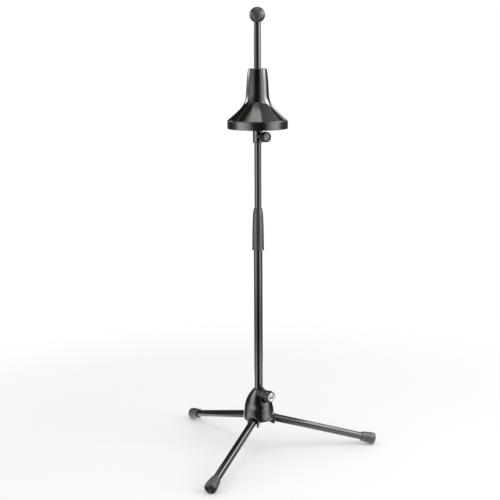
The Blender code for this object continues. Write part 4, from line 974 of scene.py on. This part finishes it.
behind = ({"rise": (158, 166), "fall": (172, 178), "level": 1.6, "low": (0.5, 0.75), "high": (2.4, 2.5)},
          {"rise": (140, 144), "fall": (153, 157), "level": 3.4, "low": (1.15, 1.40), "high": (1.65, 1.75)})
dimSpot = {"x": 0.465, "y": -0.072, "flat": 0.04, "fade": 0.09, "share": 0.2}
# the floor close to the stand: how far it reaches and how light it is, on its several sides
nearFloor = {"reach": 0.22, "reachRight": 0.10, "reachBack": 0.36, "fade": 0.06,
             "dark": 0.35, "sides": 0.9, "right": 1.2, "back": 1.0}
# brighter upright panels that lean and widen with height
noLean, sameWidth = [(0, 0.0), (2.5, 0.0)], [(0, 1.0), (2.5, 1.0)]
strips = ({"centre": 78, "low": 0, "high": 180,
           "side": [(0, 0.0), (66, 0.0), (75, 1.0), (91, 1.0), (98, 0.70), (103, 0.35), (111, 0.0),
                    (180, 0.0)],
           "lean": [(0, 0.0), (1.1, 0.0), (1.5, 8.0), (2.1, 14.0), (2.5, 14.0)],
           "spread": [(0, 1.0), (1.1, 1.0), (1.5, 1.3), (2.5, 1.3)],
           "level": [(0, 0.0), (0.80, 0.0), (0.88, 6.5), (1.1, 8.0), (1.35, 16.0), (2.15, 16.0), (2.22, 0.0),
                     (2.5, 0.0)]},
          {"centre": 58, "low": 0, "high": 180,
           "side": [(0, 0.0), (44, 0.0), (54, 1.0), (62, 1.0), (70, 0.0), (180, 0.0)],
           "lean": noLean, "spread": sameWidth, "level": [(0, 0.0), (1.9, 0.0), (2.05, 3.5), (2.5, 3.5)]},
          {"centre": -118, "low": -180, "high": 0,
           "side": [(-180, 0.0), (-150, 0.0), (-140, 0.35), (-128, 0.8), (-116, 1.0), (-108, 0.7),
                    (-100, 0.1), (-90, 0.0), (0, 0.0)],
           "lean": noLean, "spread": [(0, 1.0), (1.2, 1.0), (1.6, 0.6), (2.5, 0.6)],
           "level": [(0, 0.0), (0.82, 0.0), (0.88, 1.6), (0.98, 3.0), (1.1, 7.5), (1.25, 11.0), (1.55, 9.0),
                     (1.62, 0.0), (2.5, 0.0)]})


def reflectionOnly(thing):
    thing.visible_camera = False
    thing.visible_diffuse = False
    thing.visible_transmission = False
    thing.visible_shadow = False
    return thing


def tentFinish():
    f = StageFinish("light tent")
    azimuth, away, x, y, z = f.round()
    shifted = f.minus(azimuth, f.byHeight(z, tent["turnByHeight"], 20.0))
    level = f.profile(shifted, tent["round"], tent["peak"])
    level = f.times(level, f.byHeight(away, tent["floorByDistance"], 2.0))
    onLeft = f.math("LESS_THAN", azimuth, 0.0)
    leftChange = f.minus(f.byHeight(z, tent["leftByHeight"], 2.0), 1.0)
    level = f.times(level, f.plus(1.0, f.times(onLeft, leftChange)))
    for strip in strips:
        middle = f.plus(strip["centre"], f.byHeight(z, strip["lean"], 20.0))
        turn = f.math("DIVIDE", f.minus(azimuth, middle), f.byHeight(z, strip["spread"], 4.0))
        side = f.profile(f.plus(strip["centre"], turn), strip["side"], 1.0, strip["low"], strip["high"])
        level = f.plus(level, f.times(side, f.byHeight(z, strip["level"], 20.0)))
    for panel in behind:
        back = f.window(azimuth, panel["rise"], panel["fall"])
        level = f.plus(level, f.times(back, f.window(z, panel["low"], panel["high"]), panel["level"]))
    # a dim spot, by its distance in space
    dx, dy = f.minus(x, dimSpot["x"]), f.minus(y, dimSpot["y"])
    fromSpot = f.math("SQRT", f.plus(f.times(dx, dx), f.plus(f.times(dy, dy), f.times(z, z))))
    level = f.times(level, f.ease(fromSpot, dimSpot["flat"], dimSpot["fade"], dimSpot["share"], 1.0))
    # the floor near the stand has its own level, behind on the left, on the right and elsewhere
    backLeft = f.times(f.ease(f.minus(y, x), 0.12, 0.32), f.ease(f.plus(y, f.times(x, 0.75)), -0.01, 0.04))
    onRight = f.times(f.ease(x, 0.05, 0.10), f.ease(y, -0.12, -0.08))
    limit = f.plus(nearFloor["reach"], f.times(onRight, nearFloor["reachRight"]),
                   f.times(backLeft, nearFloor["reachBack"]))
    past = f.ease(f.minus(away, limit), 0.0, nearFloor["fade"])
    sides = f.times(f.ease(f.math("ABSOLUTE", x), 0.05, 0.14), nearFloor["sides"])
    under = f.plus(nearFloor["dark"], sides, f.times(onRight, nearFloor["right"]),
                   f.times(backLeft, nearFloor["back"]))
    return f.show(f.glow(f.plus(f.times(level, past), f.times(f.minus(1.0, past), under))))


def turnedSheet(name, line, azimuthFrom, azimuthTo, material, steps=72):
    # a line of (distance, height) turned round the post between two azimuths
    angle = np.radians(np.linspace(azimuthFrom, azimuthTo, steps))
    line = np.array(line)
    points = np.stack([line[:, :1] * np.sin(angle), -line[:, :1] * np.cos(angle),
                       np.repeat(line[:, 1:], steps, axis=1)], axis=2)
    faces = gridFaces(len(line), steps, False, False)
    return reflectionOnly(stageMesh(name, points.reshape(-1, 3).tolist(), faces.tolist(), material))


tentLine = ([(distance, tent["floor"]) for distance in (0.001, 0.3, 0.6, 1.2, tent["distance"])]
            + [(tent["distance"], height) for height in (0.6, 1.2, 1.8, tent["top"])])
turnedSheet("light_tent", tentLine, -180, 180, tentFinish(), 145)

# a low scrim, lit on its underside alone, carries the socket's left gloss up to its neck
scrim = {"height": 0.36, "from": 0.12, "to": 0.80, "fade": (0.62, 0.78), "shift": 25.0, "middle": 0.6,
         "round": [(-180, 0.2), (-112, 0.2), (-97, 1.0), (-89, 3.0), (-80, 5.4), (-57, 5.6), (-46, 3.6),
                   (-34, 1.0), (-25, 0.2), (180, 0.2)],
         "cover": [(-180, 0.0), (-136, 0.0), (-124, 1.0), (-45, 1.0), (-28, 0.0), (180, 0.0)]}


def scrimFinish():
    f = StageFinish("scrim")
    azimuth, away = f.round()[:2]
    shifted = f.plus(azimuth, f.times(f.minus(scrim["middle"], away), scrim["shift"]))
    share = f.times(f.profile(shifted, scrim["cover"], 1.0), f.ease(away, *scrim["fade"], 1.0, 0.0))
    return f.glowUnderneath(share, f.profile(shifted, scrim["round"], 8.0))


turnedSheet("scrim", [(scrim["from"], scrim["height"]), (scrim["to"], scrim["height"])],
            -145, -15, scrimFinish(), 40)

# a second scrim on the right lights the upper flank of the right leg
flank = {"height": 0.36, "across": (0.20, 0.60), "back": (-0.30, 0.30), "level": 10.0,
         "rise": (0.26, 0.30), "fall": (0.50, 0.58),
         "cover": [(-0.30, 0.0), (-0.20, 0.0), (-0.13, 1.0), (0.06, 0.9), (0.20, 0.3), (0.30, 0.0)]}


def flankFinish():
    f = StageFinish("flank scrim")
    x, y = f.round()[2:4]
    cover = f.profile(y, flank["cover"], 1.0, *flank["back"])
    return f.glowUnderneath(f.times(f.window(x, flank["rise"], flank["fall"]), cover), flank["level"])


reflectionOnly(sheet("flank_scrim", flank["across"], flank["back"], flank["height"], flankFinish()))

# over the tent: dark cloth behind, a brow that darkens to the left, and a warm roof panel
brow = {"height": 2.95, "round": [(-180, 0.25), (-60, 0.25), (-40, 0.7), (-15, 2.0), (180, 2.0)]}
roof = {"left": -2.4, "dark": 0.25, "darkAcross": (-1.7, -1.25), "across": (-1.1, -0.4), "slant": 0.5,
        "along": [(-2.5, 1.6), (-1.0, 2.0), (-0.5, 3.6), (-0.15, 5.0), (0.1, 4.8), (0.35, 3.6), (1.5, 3.0)],
        "edge": [(0.10, -2.0), (0.20, -1.2), (0.33, -0.45), (0.35, 0.0), (0.30, 0.3), (0.30, 1.5)],
        "tint": (1.0, 0.985, 0.88)}


def roofFinish():
    # dark on the left, a warm panel that comes up softly towards its sharp right edge
    f = StageFinish("roof panel")
    x, y = f.round()[2:4]
    slanted = f.minus(x, f.times(f.math("MINIMUM", y, 0.0), roof["slant"]))
    lit = f.times(f.ease(slanted, *roof["across"]), f.profile(y, roof["along"], 8.0, -2.5, 1.5))
    dark = f.ease(slanted, *roof["darkAcross"], roof["dark"], 0.3 * roof["dark"])
    return f.show(f.glow(f.plus(dark, lit), roof["tint"]))


f = StageFinish("brow panel")
browPanel = f.show(f.glow(f.profile(f.round()[0], brow["round"], 8.0)))
f = StageFinish("dark cloth")
darkCloth = f.show(f.glow(0.2))
reflectionOnly(sheet("roof_back", (roof["left"], 0.9), (1.3, 2.4), 2.96, darkCloth))
browLine = [(tent["distance"], tent["top"]), (tent["distance"], brow["height"])]
turnedSheet("brow_left", browLine, -180, 9, browPanel)
turnedSheet("brow_back", browLine, 150, 180, darkCloth)
roofPoints = [(x, y, brow["height"]) for x, y in [(roof["left"], y) for x, y in roof["edge"]] + roof["edge"]]
count = len(roof["edge"])
roofFaces = [(i, count + i, count + i + 1, i + 1) for i in range(count - 1)]
reflectionOnly(stageMesh("roof_panel", roofPoints, roofFaces, roofFinish()))
print("stand: studio lit")

# camera: worked out from the photograph's perspective
view = {"distance": 2542.77 * mm, "height": 1001.25 * mm, "pitch": math.radians(11.209),
        "yaw": math.radians(-0.432), "roll": math.radians(-0.293), "lens": 79.22}
camera = bpy.data.objects.new("photo_camera", bpy.data.cameras.new("photo_camera"))
bpy.context.scene.collection.objects.link(camera)
forward = Vector((math.sin(view["yaw"]) * math.cos(view["pitch"]),
                  math.cos(view["yaw"]) * math.cos(view["pitch"]), -math.sin(view["pitch"])))
right = Vector((math.cos(view["yaw"]), -math.sin(view["yaw"]), 0))
above = right.cross(forward)
rolledRight = math.cos(view["roll"]) * right + math.sin(view["roll"]) * above
rolledAbove = -math.sin(view["roll"]) * right + math.cos(view["roll"]) * above
stance = Matrix((rolledRight, rolledAbove, -forward)).transposed().to_4x4()
stance.translation = Vector((0, -view["distance"], view["height"]))
camera.matrix_world = studioAxis @ stance
camera.data.sensor_width = 36
camera.data.lens = view["lens"]
camera.data.clip_start = 0.05
camera.data.clip_end = 200
bpy.context.scene.camera = camera
bpy.context.scene.view_settings.view_transform = "Standard"

bpy.context.view_layer.update()
